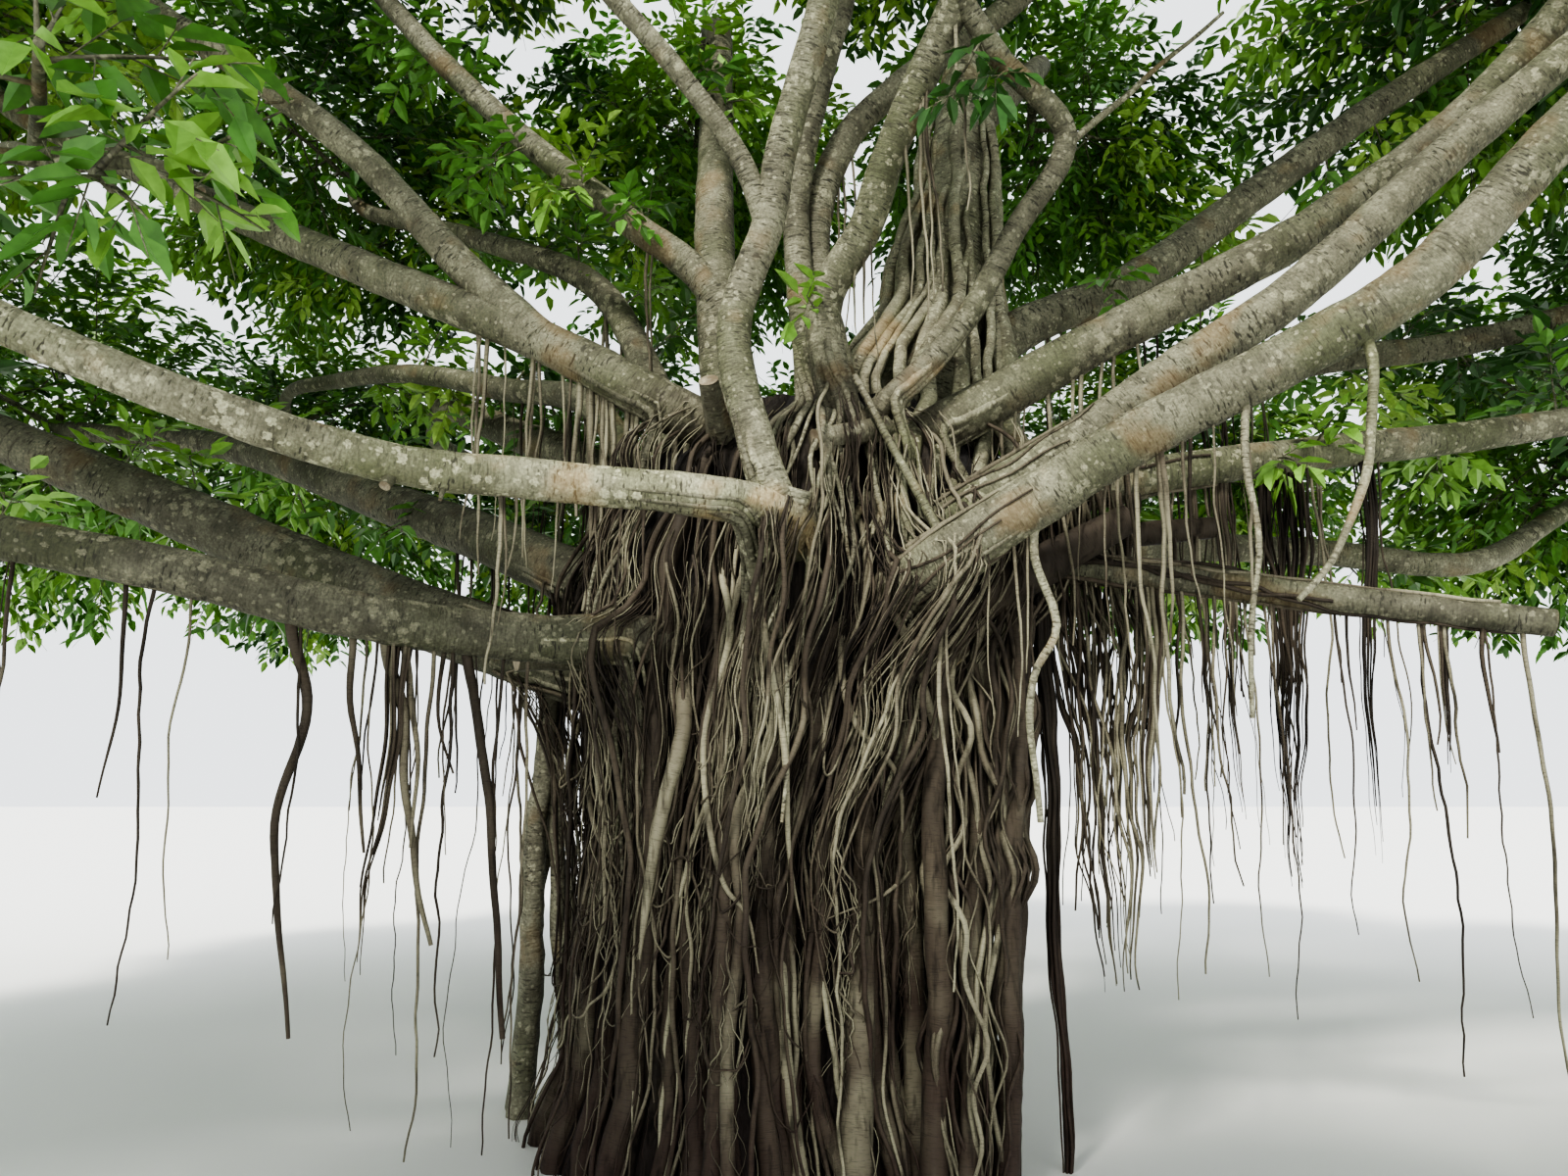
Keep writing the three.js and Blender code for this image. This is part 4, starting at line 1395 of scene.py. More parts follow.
FRINGES = tuple(Fringe(*row) for row in (
    ("bough_right_cut", (0.12, 0.97), 30, (0.5, 1.9)),
    ("bough_right_low", (0.16, 0.55), 28, (0.6, 2.3)),
    ("bough_right_far", (0.2, 0.55), 18, (0.6, 2.0)),
    ("bough_right_front", (0.12, 0.42), 12, (0.5, 1.7), (0.006, 0.017), Shade.PALE),
    ("bough_right_front_b", (0.2, 0.45), 8, (0.5, 1.4)),
    ("bough_right_mid", (0.25, 0.6), 10, (0.5, 1.5)),
    ("bough_right_high", (0.12, 0.4), 12, (0.6, 1.4), (0.005, 0.014), Shade.PALE),
    ("bough_right_back_low", (0.15, 0.5), 18, (0.5, 2.0)),
    ("bough_left_low", (0.18, 0.6), 16, (0.6, 2.2)),
    ("bough_left_low_back", (0.16, 0.4), 12, (0.6, 2.1)),
    ("bough_left_front", (0.1, 0.3), 7, (0.2, 0.9)),
    ("bough_left_mid", (0.14, 0.35), 12, (0.5, 1.4)),
    ("bough_left_high", (0.14, 0.36), 16, (0.6, 1.3), (0.005, 0.016), Shade.PALE),
    ("bough_back_left_up", (0.2, 0.5), 12, (0.8, 1.8), (0.006, 0.018), Shade.PALE),
    ("bough_back_left_a", (0.25, 0.5), 12, (0.8, 1.8), (0.006, 0.018), Shade.PALE),
    ("bough_back_left_b", (0.2, 0.5), 12, (0.6, 1.6)),
    ("bough_back_left_c", (0.15, 0.5), 16, (0.6, 2.2)),
    ("bough_back_centre", (0.15, 0.5), 18, (0.6, 2.2)),
    ("bough_back_right", (0.15, 0.5), 18, (0.6, 2.2)),
    ("bough_left_high", (0.06, 0.24), 9, (0.5, 1.2), (0.012, 0.026), Shade.PALE),
    ("bough_back_left_up", (0.12, 0.36), 9, (0.8, 1.6), (0.012, 0.03), Shade.PALE),
    ("bough_back_left_a", (0.12, 0.4), 9, (0.8, 1.7), (0.012, 0.03), Shade.PALE),
    ("bough_back_left_b", (0.12, 0.35), 7, (0.8, 1.6), (0.012, 0.026), Shade.PALE),
    ("bough_up_back", (0.2, 0.5), 6, (0.8, 1.6), (0.012, 0.026), Shade.PALE),
    ("bough_right_mid", (0.1, 0.35), 9, (0.6, 1.4), (0.012, 0.026), Shade.PALE),
    ("bough_up_right", (0.2, 0.45), 8, (0.4, 1.2), (0.006, 0.014), Shade.PALE),
    ("bough_up_right_b", (0.3, 0.5), 6, (0.5, 1.2), (0.006, 0.014), Shade.PALE),
))
BUNDLES = tuple(Bundle(*row) for row in (
    ("root_column_right", (0.83, -0.62, 2.48), (0.7, -0.79, 0), (0.27, 0.2), (0.25, 0.19), 80,
     (0.005, 0.02), Shade.MIXED),
    ("hanging_roots_left", (-1.69, -1.11, 2.33), (-1.78, -1.08, 0.9), (0.062, 0.02), (0.04, 0.02), 9,
     (0.005, 0.012), Shade.MIXED),
    ("hanging_roots_curtain", (1.4, -0.46, 3.06), (1.39, -0.64, 0.76), (0.28, 0.11), (0.085, 0.06), 60,
     (0.004, 0.014), Shade.MIXED),
    ("hanging_roots_right", (2.42, -0.33, 3.27), (2.33, -0.33, 1.18), (0.15, 0.06), (0.08, 0.05), 34,
     (0.004, 0.012), Shade.DARK),
    ("prop_root_right", (1.14, -0.54, 2.66), (1.15, -0.52, 0), (0.05, 0.036), (0.048, 0.036), 14,
     (0.006, 0.02), Shade.DARK),
    ("", (1.62, -0.66, 2.6), (1.52, -0.72, 1.25), (0.07, 0.035), (0.05, 0.03), 26,
     (0.004, 0.013), Shade.MIXED),
    ("", (2.85, -0.32, 3.3), (2.68, -0.42, 1.3), (0.045, 0.03), (0.04, 0.03), 14, (0.004, 0.011), Shade.DARK),
    ("", (2.72, -1.07, 2.38), (2.66, -1.1, 1.7), (0.03, 0.02), (0.03, 0.02), 7, (0.004, 0.009), Shade.DARK),
    ("", (2.1, -0.35, 3.2), (2.05, -0.45, 1.5), (0.05, 0.03), (0.04, 0.03), 14, (0.004, 0.01), Shade.MIXED),
))
# Smooth roots drawn on the trunk through angles in degrees and heights, then half thickness at top
# and foot, shade, and how far they stand out.
DRAWN = (
    (((-120.7, 2.21), (-115.7, 1.91), (-117, 1.62), (-119, 1.32), (-120.7, 0.93)),
     (0.04, 0.024), 0.72, 0.14),
    (((-64, 1.75), (-57, 1.24), (-59, 0.83), (-60.2, 0.52), (-64, 0.21), (-66, 0)),
     (0.045, 0.075), 0.62, 0.05),
    (((-62, 2), (-46, 1.44), (-41.5, 1.02), (-41.5, 0.56), (-47, 0.16), (-48, 0)),
     (0.04, 0.065), 0.6, 0.06),
    (((-110, 2.34), (-104, 1.82), (-97.5, 1.25), (-97.3, 0.85), (-97.3, 0.47), (-98, 0)),
     (0.035, 0.05), 0.55, 0.06),
    (((-120, 1.57), (-114, 1.12), (-107, 0.73), (-103, 0.35), (-101, 0)), (0.04, 0.075), 0.35, 0.03),
    (((-89.4, 0.85), (-87, 0.47), (-85, 0)), (0.03, 0.05), 0.5, 0.06),
    (((-82, 1.1), (-80.7, 0.62), (-78.6, 0.25), (-77, 0)), (0.02, 0.035), 0.85, 0.08),
    (((-116, 2.7), (-107, 2.34), (-110, 1.83), (-97.5, 1.25), (-91.6, 1.13), (-88.5, 0.9)),
     (0.018, 0.014), 0.95, 0.11),
    (((-103, 2.78), (-98, 2.33), (-89, 1.82), (-80.3, 1.33), (-75.5, 1.01)), (0.02, 0.012), 0.9, 0.11),
    (((-81, 2.42), (-76, 2.12), (-71.5, 1.91), (-58.4, 1.7), (-48, 1.35)), (0.02, 0.012), 0.8, 0.12),
    (((-74, 2.55), (-64.5, 2.26), (-50, 1.83), (-34.6, 1.44), (-52.2, 1.21), (-70, 1.1)),
     (0.022, 0.012), 0.75, 0.13),
    (((-155, 1.95), (-152, 1.7), (-140, 1.44), (-129.6, 1.23)), (0.016, 0.01), 0.7, 0.1),
    (((-136, 2.74), (-134, 2.19), (-137, 1.75)), (0.015, 0.008), 0.8, 0.11),
    (((-95, 2.3), (-92, 1.9), (-96, 1.5), (-93, 1.1), (-95, 0.6), (-94, 0)), (0.024, 0.03), 0.7, 0.08),
)
# Where the roots that climb the leader run: height, centre x and y, half width x and y.
LEADER_WEB = Upright((
    (2.75, 0.3, 0, 0.95, 0.84), (3.2, 0.44, 0.08, 0.84, 0.72), (3.72, 0.66, 0.3, 0.56, 0.5),
    (4.55, 0.86, 0.44, 0.34, 0.33), (5.43, 0.98, 0.54, 0.23, 0.23), (6.55, 1.08, 0.7, 0.1, 0.1),
))


@dataclass(frozen=True)
class Stem:
    """A smooth root that stands or hangs free: marks along it, its half thickness at both ends, its shade."""

    marks: tuple[Row, ...]
    girths: Pair
    tone: float = 0.6


LEFT_PROPS = tuple(Stem(*row) for row in (
    (((-1.3, 0.1, 2.4), (-1.43, 0.34, 0)), (0.05, 0.07), 0.42),
    (((-1.33, 0.14, 2.34), (-1.17, 0.36, 0)), (0.034, 0.05), 0.4),
    (((-1.24, 0.2, 2.3), (-1.5, 0.5, 0)), (0.03, 0.045), 0.3),
))
COLUMN_STEMS = tuple(Stem(*row) for row in (
    (((0.62, -0.78, 2.5), (0.53, -0.86, 0)), (0.045, 0.06), 0.45),
    (((0.85, -0.66, 2.5), (0.66, -0.9, 0)), (0.04, 0.05), 0.5),
    (((1.0, -0.7, 2.6), (0.82, -0.86, 0)), (0.045, 0.055), 0.4),
    (((0.8, -0.5, 2.5), (0.72, -0.66, 0)), (0.06, 0.08), 0.25),
    (((1.05, -0.55, 2.5), (0.86, -0.7, 0)), (0.045, 0.055), 0.35),
))
# Under the foot of the crooked bough, across the trunk's front, off the elbow, and under the low
# boughs on the right.
FRONT_STEMS = tuple(Stem(*row) for row in (
    (((-0.17, -1.15, 2.58), (-0.08, -1.18, 2.72), (-0.03, -1.2, 2.88)), (0.062, 0.075)),
    (((-0.27, -1.2, 2.75), (-0.12, -1.0, 2.3)), (0.036, 0.034)),
    (((-0.11, -1.2, 2.76), (-0.1, -1.03, 2.36)), (0.022, 0.02)),
    (((-0.06, -1.16, 2.83), (-0.07, -1.02, 2.4)), (0.014, 0.013)),
    (((-0.13, -1.0, 2.36), (-0.2, -1.04, 2.0), (-0.16, -1.0, 1.6)), (0.018, 0.009)),
    (((-0.1, -1.0, 2.36), (-0.06, -1.06, 1.95), (-0.09, -1.02, 1.5)), (0.016, 0.008)),
    (((0.25, -0.8, 3.54), (0.61, -1.03, 2.71)), (0.018, 0.024)),
    (((0.3, -0.72, 3.4), (0.4, -1.0, 2.4)), (0.014, 0.018)),
    (((1.2, -0.93, 4.58), (1.6, -1.02, 4.9), (1.98, -1.1, 5.22)), (0.02, 0.008)),
    (((2.2, -1.6, 3.46), (2.225, -1.62, 3.3), (2.22, -1.6, 3.0), (2.148, -1.6, 2.766),
      (2.01, -1.6, 2.495), (1.867, -1.6, 2.336)), (0.024, 0.012), 0.85),
    (((1.81, -1.44, 3.28), (1.778, -1.45, 2.97), (1.789, -1.45, 2.646), (1.749, -1.45, 2.331),
      (1.72, -1.45, 1.9)), (0.019, 0.009), 0.8),
    (((1.0, -1.12, 2.8), (0.98, -1.12, 2.6), (1.06, -1.12, 2.3), (0.96, -1.1, 2.1), (0.99, -1.0, 1.5)),
      (0.022, 0.014), 0.8),
))
# Off the underside of the low boughs on the left.
LEFT_HANGERS = tuple(Stem(*row) for row in (
    (((-2.08, -1.24, 2.4), (-2.1, -1.24, 2.285), (-2.028, -1.2, 1.969), (-2.09, -1.2, 1.654),
      (-2.088, -1.2, 1.347), (-1.996, -1.2, 0.684)), (0.026, 0.008), 0.4),
    (((-1.88, -1.15, 2.36), (-1.885, -1.12, 2.2), (-1.879, -1.12, 1.975), (-1.82, -1.12, 1.655),
      (-1.78, -1.12, 1.38)), (0.018, 0.006), 0.55),
    (((-1.75, -1.12, 2.34), (-1.751, -1.08, 2.2), (-1.677, -1.08, 1.978), (-1.649, -1.08, 1.656),
      (-1.573, -1.08, 1.263), (-1.5, -1.08, 1.015)), (0.027, 0.009), 0.75),
    (((-1.7, -1.1, 2.3), (-1.66, -1.06, 2.1), (-1.6, -1.1, 1.7), (-1.6, -1.1, 1.4)), (0.017, 0.006), 0.8),
    (((-1.52, -1.02, 2.3), (-1.55, -1.0, 1.95), (-1.47, -1.0, 1.7)), (0.013, 0.005), 0.6),
    (((-1.46, -0.99, 2.3), (-1.44, -0.96, 2.157), (-1.372, -0.98, 1.903), (-1.325, -0.98, 1.535),
      (-1.274, -0.98, 1.138), (-1.22, -0.98, 0.64)), (0.025, 0.012), 0.3),
    (((-2.7, -1.4, 2.5), (-2.68, -1.38, 2.0), (-2.73, -1.38, 1.6)), (0.012, 0.004), 0.3),
))
# The limbs that roots run along, the stretch of each as shares of it, and how many run there.
WRAPPED = (
    ("bough_right_cut", (0.1, 0.985), 11),
    ("bough_right_low", (0.12, 0.36), 8),
    ("bough_right_front_b", (0.12, 0.3), 8),
    ("bough_right_front", (0.1, 0.22), 8),
    ("bough_left_low_back", (0.12, 0.3), 7),
)


@dataclass
class AerialRoots:
    """All the roots that clothe the trunk, climb the leader, hang free or prop a bough."""

    trunk: Trunk
    boughs: Boughs
    seed: int = 7
    streams: int = 80
    in_stream: tuple[int, int] = (8, 14)
    ropes: int = 165
    stems: int = 44
    bows: int = 150
    climbers: int = 38
    climber_tip: float = 0.12
    climber_taper: float = 5.0
    collar_roots: int = 6
    girths: Pair = (0.0022, 0.0052)
    rope_girths: Pair = (0.005, 0.017)
    frontal: float = 0.3
    front: float = -math.pi / 2
    step: float = 0.05
    fine_step: float = 0.033
    drape_step: float = 0.04
    drape_steps: int = 10
    drape_fade: float = 0.93
    curls: tuple[Pair, ...] = ((0.016, 0.9), (0.009, 0.3), (0.0055, 0.14))
    wrap_bends: tuple[Pair, ...] = ((0.3, 0.3), (0.12, 0.1))
    bundle_bends: tuple[Pair, ...] = ((0.012, 1.3), (0.004, 0.4))
    bundle_mats: tuple[Pair, ...] = ((0.13, 0.7), (0.07, 0.3))

    def _around(self, share: float) -> float:
        """Returns an angle round the trunk at a share of the way, closer together towards the front."""
        turn = share * TURN
        return self.front + turn - self.frontal * math.sin(turn)

    def clothing(self) -> list[Strand]:
        """Clothes the trunk.

        Returns:
            The thin roots that run down the trunk in streams, and the bows between them.
        """
        rng = np.random.default_rng(self.seed)
        made = []
        for i in range(self.streams):
            made += self._stream(rng, self._around((i + rng.uniform(-0.35, 0.35)) / self.streams))
        for _ in range(self.bows):
            start = self._around(rng.random())
            span = (start, start + rng.choice((-1, 1)) * rng.uniform(0.06, 0.4))
            top = rng.uniform(0.9, 2.4)
            heights = (top, top + rng.uniform(-0.4, 0.25))
            sag, girth = rng.uniform(0.1, 0.5), rng.uniform(0.003, 0.009)
            made.append(self.trunk.festoon(rng, span, heights, sag, girth))
        return made

    def _stream(self, rng: Rng, middle: float) -> list[Strand]:
        """Runs a stream of roots down the trunk.

        Args:
            rng: The random source.
            middle: Where round the trunk it runs, in radians.

        Returns:
            The roots of one stream, which sway together and curl more the lower they hang.
        """
        level = np.linspace(self.trunk.height, 0, round(self.trunk.height / self.fine_step) + 1)
        width = self.trunk.outline.ring(level)[:, 2:].mean(axis=1)
        sway = waves(rng, level, ((0.035, 1.9), (0.012, 0.7)))
        lift = rng.uniform(0.0, 0.09) + waves(rng, level, ((0.02, 1.3), (0.008, 0.45)))
        spread = 0.055 + 0.02 * waves(rng, level, ((1, 1.1), (0.6, 0.5)))
        twist = rng.uniform(-0.9, 0.9) * level
        crest = rng.uniform(3.0, 3.65)
        shade = rng.choice(list(Shade), p=[0.4, 0.45, 0.15])
        curl = (0.4 + np.clip(1.9 - level, 0, 1.4) * 0.7) * rng.uniform(0.35, 1.3)
        made = []
        for _ in range(int(rng.integers(*self.in_stream))):
            top = crest - rng.exponential(0.3)
            foot = 0 if rng.random() < 0.3 else rng.uniform(0.3, 1.9)
            part = (level <= top) & (level >= foot - self.fine_step)
            part[-1] = foot == 0
            if part.sum() < 12:
                continue
            place, reach = rng.uniform(0, TURN), math.sqrt(rng.random())
            own, away = (waves(rng, level, self.curls) * curl for _ in range(2))
            across = sway + spread * reach * np.cos(place + twist) + own
            out = lift + spread * reach * np.sin(place + twist) * 0.6 + away * 0.8
            girth = rng.uniform(*self.girths) * (2.0 if rng.random() < 0.12 else 1)
            path = self._draped(middle + across / width, level, out, girth)[part]
            fall = np.linspace(0, 1, len(path))
            # Painted light and shade: roots that stand further out are painted paler and those deeper in
            # darker, over the stream's own tone.
            tone = shade.draw(rng) + (float(out.mean()) - 0.045) * 4
            made.append(Strand(path, girth * (1 - 0.5 * fall**2), min(1.0, max(0.0, tone))))
        return made

    def roped(self) -> list[Strand]:
        """Hangs the thicker roots.

        Returns:
            The roots as thick as a thumb or a wrist that hang down in front of the thin ones.
        """
        rng = np.random.default_rng(self.seed + 5)
        made = []
        for i in range(self.ropes):
            top = rng.uniform(2.2, 3.6)
            foot = 0.0 if rng.random() < 0.5 else rng.uniform(0.2, 1.5)
            level = np.linspace(top, foot, max(12, round((top - foot) / self.step)))
            width = self.trunk.outline.ring(level)[:, 2:].mean(axis=1)
            middle = self._around((i + rng.uniform(-0.45, 0.45)) / self.ropes)
            across = waves(rng, level, ((0.035, 1.7), (0.004, 0.3))) + kinks(rng, level, 0.012, 0.28)
            across += rng.normal(0, 0.035) * (top - level)
            fall = np.linspace(0, 1, len(level))
            out = rng.uniform(0.04, 0.13) + kinks(rng, level, 0.012, 0.35) - 0.12 * np.exp(-fall * 16)
            girth = blend(self.rope_girths, rng.random() ** 1.7)
            path = self._draped(middle + across / width, level, out, girth)
            thin = 0.25 if foot == 0 else 0.7
            tone = float(np.clip(rng.normal(0.52, 0.2), 0.12, 1))
            made.append(Strand(path, girth * (1 - thin * fall**2), tone))
        return made

    def wraps(self) -> list[Strand]:
        """Runs roots along limbs.

        Returns:
            The roots that run along the bare low limb and the feet of the low boughs, half sunk in.
        """
        rng = np.random.default_rng(self.seed + 6)
        made = []
        for name, stretch, count in WRAPPED:
            limb, length = self.boughs.named(name), self.boughs.lines[name].length
            for i in range(count):
                low, high = stretch[0], blend(stretch, rng.uniform(0.55, 1))
                shares = np.linspace(low, high, math.ceil(length * (high - low) / self.step) + 2)
                side = i * TURN / count + rng.uniform(-6, 6) * (shares - low)
                side += waves(rng, shares, self.wrap_bends)
                girth = rng.uniform(0.008, 0.019)
                points = self.boughs.skin(limb, shares, side, girth * 0.3)
                girths = np.linspace(girth, girth * 0.5, len(shares))
                made.append(Strand(points, girths, Shade.MIXED.draw(rng)))
        return made

    def _draped(self, angle: Array, level: Array, out: Array, girth: float) -> Array:
        """Leads a root down the trunk.

        Args:
            angle: Angles round the trunk, in radians.
            level: Heights.
            out: How far out of the bark.
            girth: Half thickness.

        Returns:
            A root's line down the trunk, led over the feet of the limbs that it can pass.
        """
        lifted = np.zeros_like(out)
        for _ in range(self.drape_steps):
            inside = self.boughs.buried(self.trunk.skin(angle, level, out + lifted), girth)
            if not inside.any():
                break
            lifted += self.drape_step * inside
        lifted[lifted > self.drape_step * (self.drape_steps - 1.5)] = 0
        for i in range(1, len(lifted)):
            lifted[i] = max(lifted[i], lifted[i - 1] * self.drape_fade)
        soft = np.convolve(np.pad(lifted, 3, "edge"), np.ones(7) / 7, "valid")
        return self.trunk.skin(angle, level, out + np.maximum(soft, lifted * 0.9))

    def stout(self) -> list[Strand]:
        """Stands the thick roots up.

        Returns:
            The thick roots that stand against the trunk.
        """
        rng = np.random.default_rng(self.seed + 3)
        made = [self.trunk.drawn(marks, girth, tone, out) for marks, girth, tone, out in DRAWN]
        for i in range(self.stems):
            angle = (i + rng.uniform(-0.3, 0.3)) * TURN / self.stems
            foot_girth = rng.uniform(0.025, 0.068)
            heights, girths = (rng.uniform(1.2, 3.2), 0.0), (foot_girth * 0.65, foot_girth)
            tone, out = rng.uniform(0.2, 0.6), rng.uniform(-0.035, 0.05)
            made.append(self.trunk.root(rng, angle, heights, girths, tone, 0.45, out))
        return made

    def up_leader(self) -> list[Strand]:
        """Runs roots up the leader.

        Returns:
            The pale roots that have fused round the leader's foot.
        """
        rng = np.random.default_rng(self.seed + 1)
        made = []
        for i in range(self.climbers):
            angle = (i + rng.uniform(-0.35, 0.35)) * TURN / self.climbers
            heights = (rng.uniform(4.4, 6.5), LEADER_WEB.rings[0][0])
            foot_girth = rng.uniform(0.03, 0.07)
            out = rng.uniform(-0.04, 0.02)
            girths = (foot_girth * 0.45, foot_girth)
            root = self.trunk.root(rng, angle, heights, girths, 1.0, 0.8, out, LEADER_WEB)
            thin = np.minimum(1, self.climber_tip + np.linspace(self.climber_taper, 0, len(root.girth)))
            made.append(Strand(root.points, root.girth * thin, root.tone))
        return made

    def collars(self) -> list[Strand]:
        """Gives the boughs' feet their roots.

        Returns:
            The roots that leave the underside of each bough's foot and run down the trunk.
        """
        rng = np.random.default_rng(self.seed + 4)
        made = []
        for limb in self.boughs.rows:
            if isinstance(limb.start[0], str):
                continue
            line = self.boughs.lines[limb.name]
            foot = line.share_at(1 / (len(line.points) - 1))
            for i in range(self.collar_roots):
                girth = rng.uniform(0.009, 0.026)
                shares = np.linspace(foot + rng.uniform(0.25, 0.8) / line.length, foot + 0.03, 5)
                side = (i + rng.uniform(0.2, 0.8)) / self.collar_roots * 3.0 - 1.5
                skin = self.boughs.skin(limb, shares, side, girth * np.linspace(-1.3, 0.1, 5))
                made.append(self._collar(rng, skin, girth))
        return made

    def _collar(self, rng: Rng, skin: Array, girth: float) -> Strand:
        """Runs a root down from a limb.

        Args:
            rng: The random source.
            skin: Points along the limb, the last next to the trunk.
            girth: Half thickness.

        Returns:
            One root from points along a limb down to the ground or part of the way.
        """
        x, y, z = skin[-1]
        cx, cy, rx, ry = self.trunk.outline.ring(np.array(z - 0.2))
        angle = math.atan2((y - cy) / ry, (x - cx) / rx)
        level = np.linspace(z - 0.28, max(0.3, z - rng.uniform(0.5, 1.5)), 6)
        wander = waves(rng, level, ((0.06, 1.4), (0.02, 0.5)))
        down = self.trunk.skin(angle + wander, level, rng.uniform(0.05, 0.1))
        line = Path(np.vstack([skin, down]))
        share = line.steps(self.step, 2)
        return Strand(line.share(share), girth * (1 - 0.75 * share**2), Shade.MIXED.draw(rng))

    def hanging(self) -> list[Strand]:
        """Hangs the loose roots.

        Returns:
            The roots that hang free from the limbs.
        """
        rng = np.random.default_rng(self.seed + 2)
        made = []
        for fringe in FRINGES:
            for _ in range(fringe.count):
                start = self.boughs.under(fringe.limb, rng.uniform(*fringe.stretch))
                length = min(rng.uniform(*fringe.lengths), start[2])
                girth, tone = rng.uniform(*fringe.girths), fringe.shade.draw(rng)
                made.append(self._hung(rng, start, length, girth, tone))
        return made

    def _hung(self, rng: Rng, start: Array, length: float, girth: float, tone: float) -> Strand:
        """Hangs a root.

        Args:
            rng: The random source.
            start: The point, inside the limb's bark.
            length: How far down it hangs.
            girth: Half thickness at its top.
            tone: Its shade.

        Returns:
            One root that hangs down from a point.
        """
        fall = np.linspace(0, length, max(8, int(length / self.step)))
        sway = 1 - np.exp(-fall / 0.3)
        rows = ((0.03, 1.7), (0.007, 0.5), (0.003, 0.2))
        x, y = (start[k] + waves(rng, fall, rows) * sway for k in (0, 1))
        points = np.stack([x, y, start[2] - fall], axis=1)
        return Strand(points, girth * (1 - 0.6 * fall / length), tone)

    def bundle(self, row: Bundle) -> list[Strand]:
        """Fills a bundle.

        Args:
            row: The bundle.

        Returns:
            The roots of one bundle, which turn a little round each other.
        """
        rng = np.random.default_rng(self.seed + BUNDLES.index(row))
        (x0, y0, z0), (x1, y1, z1) = row.foot, row.top
        host = Upright(((z0, x0, y0, row.wide[1], row.deep[1]), (z1, x1, y1, row.wide[0], row.deep[0])))
        turn = rng.uniform(0.2, 0.5)
        level = np.linspace(z0, z1, 60)
        loose = 1 - np.exp((level - z1) / 0.3)
        drift = np.stack([waves(rng, level, self.bundle_bends) * loose for _ in range(2)])
        matted = 1 + waves(rng, level, self.bundle_mats) * loose
        made = []
        for i in range(row.count):
            depth = math.sqrt(rng.uniform(0.05, 1))
            foot = z0 if z0 == 0 else z0 + (z1 - z0) * 0.75 * (i / row.count) ** 1.4
            z = np.linspace(z1, foot, max(8, int((z1 - foot) / self.step)))
            angle = i * GOLDEN_ANGLE + waves(rng, z, ((0.3, 1.6), (0.1, 0.5))) + turn * (z1 - z)
            girth = rng.uniform(*row.girths)
            points = host.point(angle, z, -girth, depth * np.interp(z, level, matted))
            points[:, 0] += np.interp(z, level, drift[0])
            points[:, 1] += np.interp(z, level, drift[1])
            thin = 1 - (0.4 if z0 == 0 else 0.75) * np.linspace(0, 1, len(z)) ** 2
            made.append(Strand(points, girth * thin, row.shade.draw(rng)))
        return made

    def free(self, stems: tuple[Stem, ...]) -> list[Strand]:
        """Draws stems by their marks.

        Args:
            stems: The stems.

        Returns:
            Stems that stand free, each a little crooked.
        """
        rng = np.random.default_rng(self.seed + 9)
        made = []
        for stem in stems:
            line = Path(np.array(stem.marks))
            run = line.length
            share = np.linspace(0, 1, max(8, math.ceil(run / self.step)))
            points = line.share(share)
            bends = ((0.008 * run, 1.6), (0.006, 0.5))
            for k in (0, 1):
                points[:, k] += waves(rng, share * run, bends) * np.sin(math.pi * share)
            made.append(Strand(points, blend(stem.girths, share), stem.tone))
        return made


# The crown.


@dataclass(frozen=True)
class Spray:
    """One spray of leaves: its foot, its direction, the direction across it, and its length."""

    base: Array
    along: Array
    wide: Array
    length: float


@dataclass(frozen=True)
class Shoot:
    """A leafy shoot on a limb: the share of it, the shoot's direction in degrees, and its length."""

    limb: str
    share: float
    azimuth: float
    pitch: float
    length: float

    def spray(self, boughs: Boughs) -> Spray:
        """Places the shoot.

        Args:
            boughs: The limbs.

        Returns:
            The shoot as a spray.
        """
        along = heading(self.azimuth, self.pitch)
        wide = unit(np.cross(along, UP + 0.1))
        return Spray(boughs.lines[self.limb].share(self.share), along, wide, self.length)


# Stands for the shoots where masses go by number, and for the limbs that they grow from.
SHOOT = -1
SHOOTS = tuple(Shoot(*row) for row in (
    ("bough_elbow", 0.56, 210, -62, 0.42),
    ("bough_elbow", 0.52, 240, -40, 0.3),
    ("bough_up_right", 0.16, 250, 10, 0.24),
    ("bough_right_low", 0.42, 262, -18, 0.32),
    ("bough_right_low", 0.46, 275, 25, 0.3),
    ("bough_right_mid", 0.45, 260, -10, 0.3),
    ("bough_back_left_up", 0.56, 250, -30, 0.5),
    ("bough_back_left_up", 0.66, 230, -45, 0.6),
    ("bough_back_left_up", 0.5, 290, -20, 0.45),
    ("bough_up_back", 0.72, 262, -35, 0.6),
    ("bough_up_back", 0.8, 240, -40, 0.6),
    ("bough_up_back", 0.66, 300, -25, 0.5),
    ("bough_left_mid", 0.4, 250, -30, 0.4),
    ("fork_left_high", 0.5, 250, -35, 0.45),
    ("fork_left_high", 0.72, 262, -30, 0.5),
))
# The limbs that carry sprays between the trunk and their masses, the stretch of each, and how many.
INNER_SPRAYS = (
    ("bough_left_mid", (0.25, 0.8), 8), ("bough_back_left_b", (0.3, 0.85), 8),
    ("bough_back_left_c", (0.3, 0.8), 7), ("bough_left_low_back", (0.4, 0.85), 7),
    ("bough_back_left_a", (0.35, 0.85), 7), ("bough_left_low", (0.5, 0.9), 5),
    ("bough_right_back_low", (0.3, 0.8), 7), ("bough_right_far", (0.35, 0.85), 8),
    ("bough_right_mid", (0.5, 0.9), 6), ("bough_back_right", (0.35, 0.8), 6),
    ("bough_back_centre", (0.35, 0.8), 6), ("bough_right_low", (0.6, 0.95), 5),
    ("bough_back_left_up", (0.45, 0.9), 6), ("fork_back_up", (0.3, 0.9), 5),
)


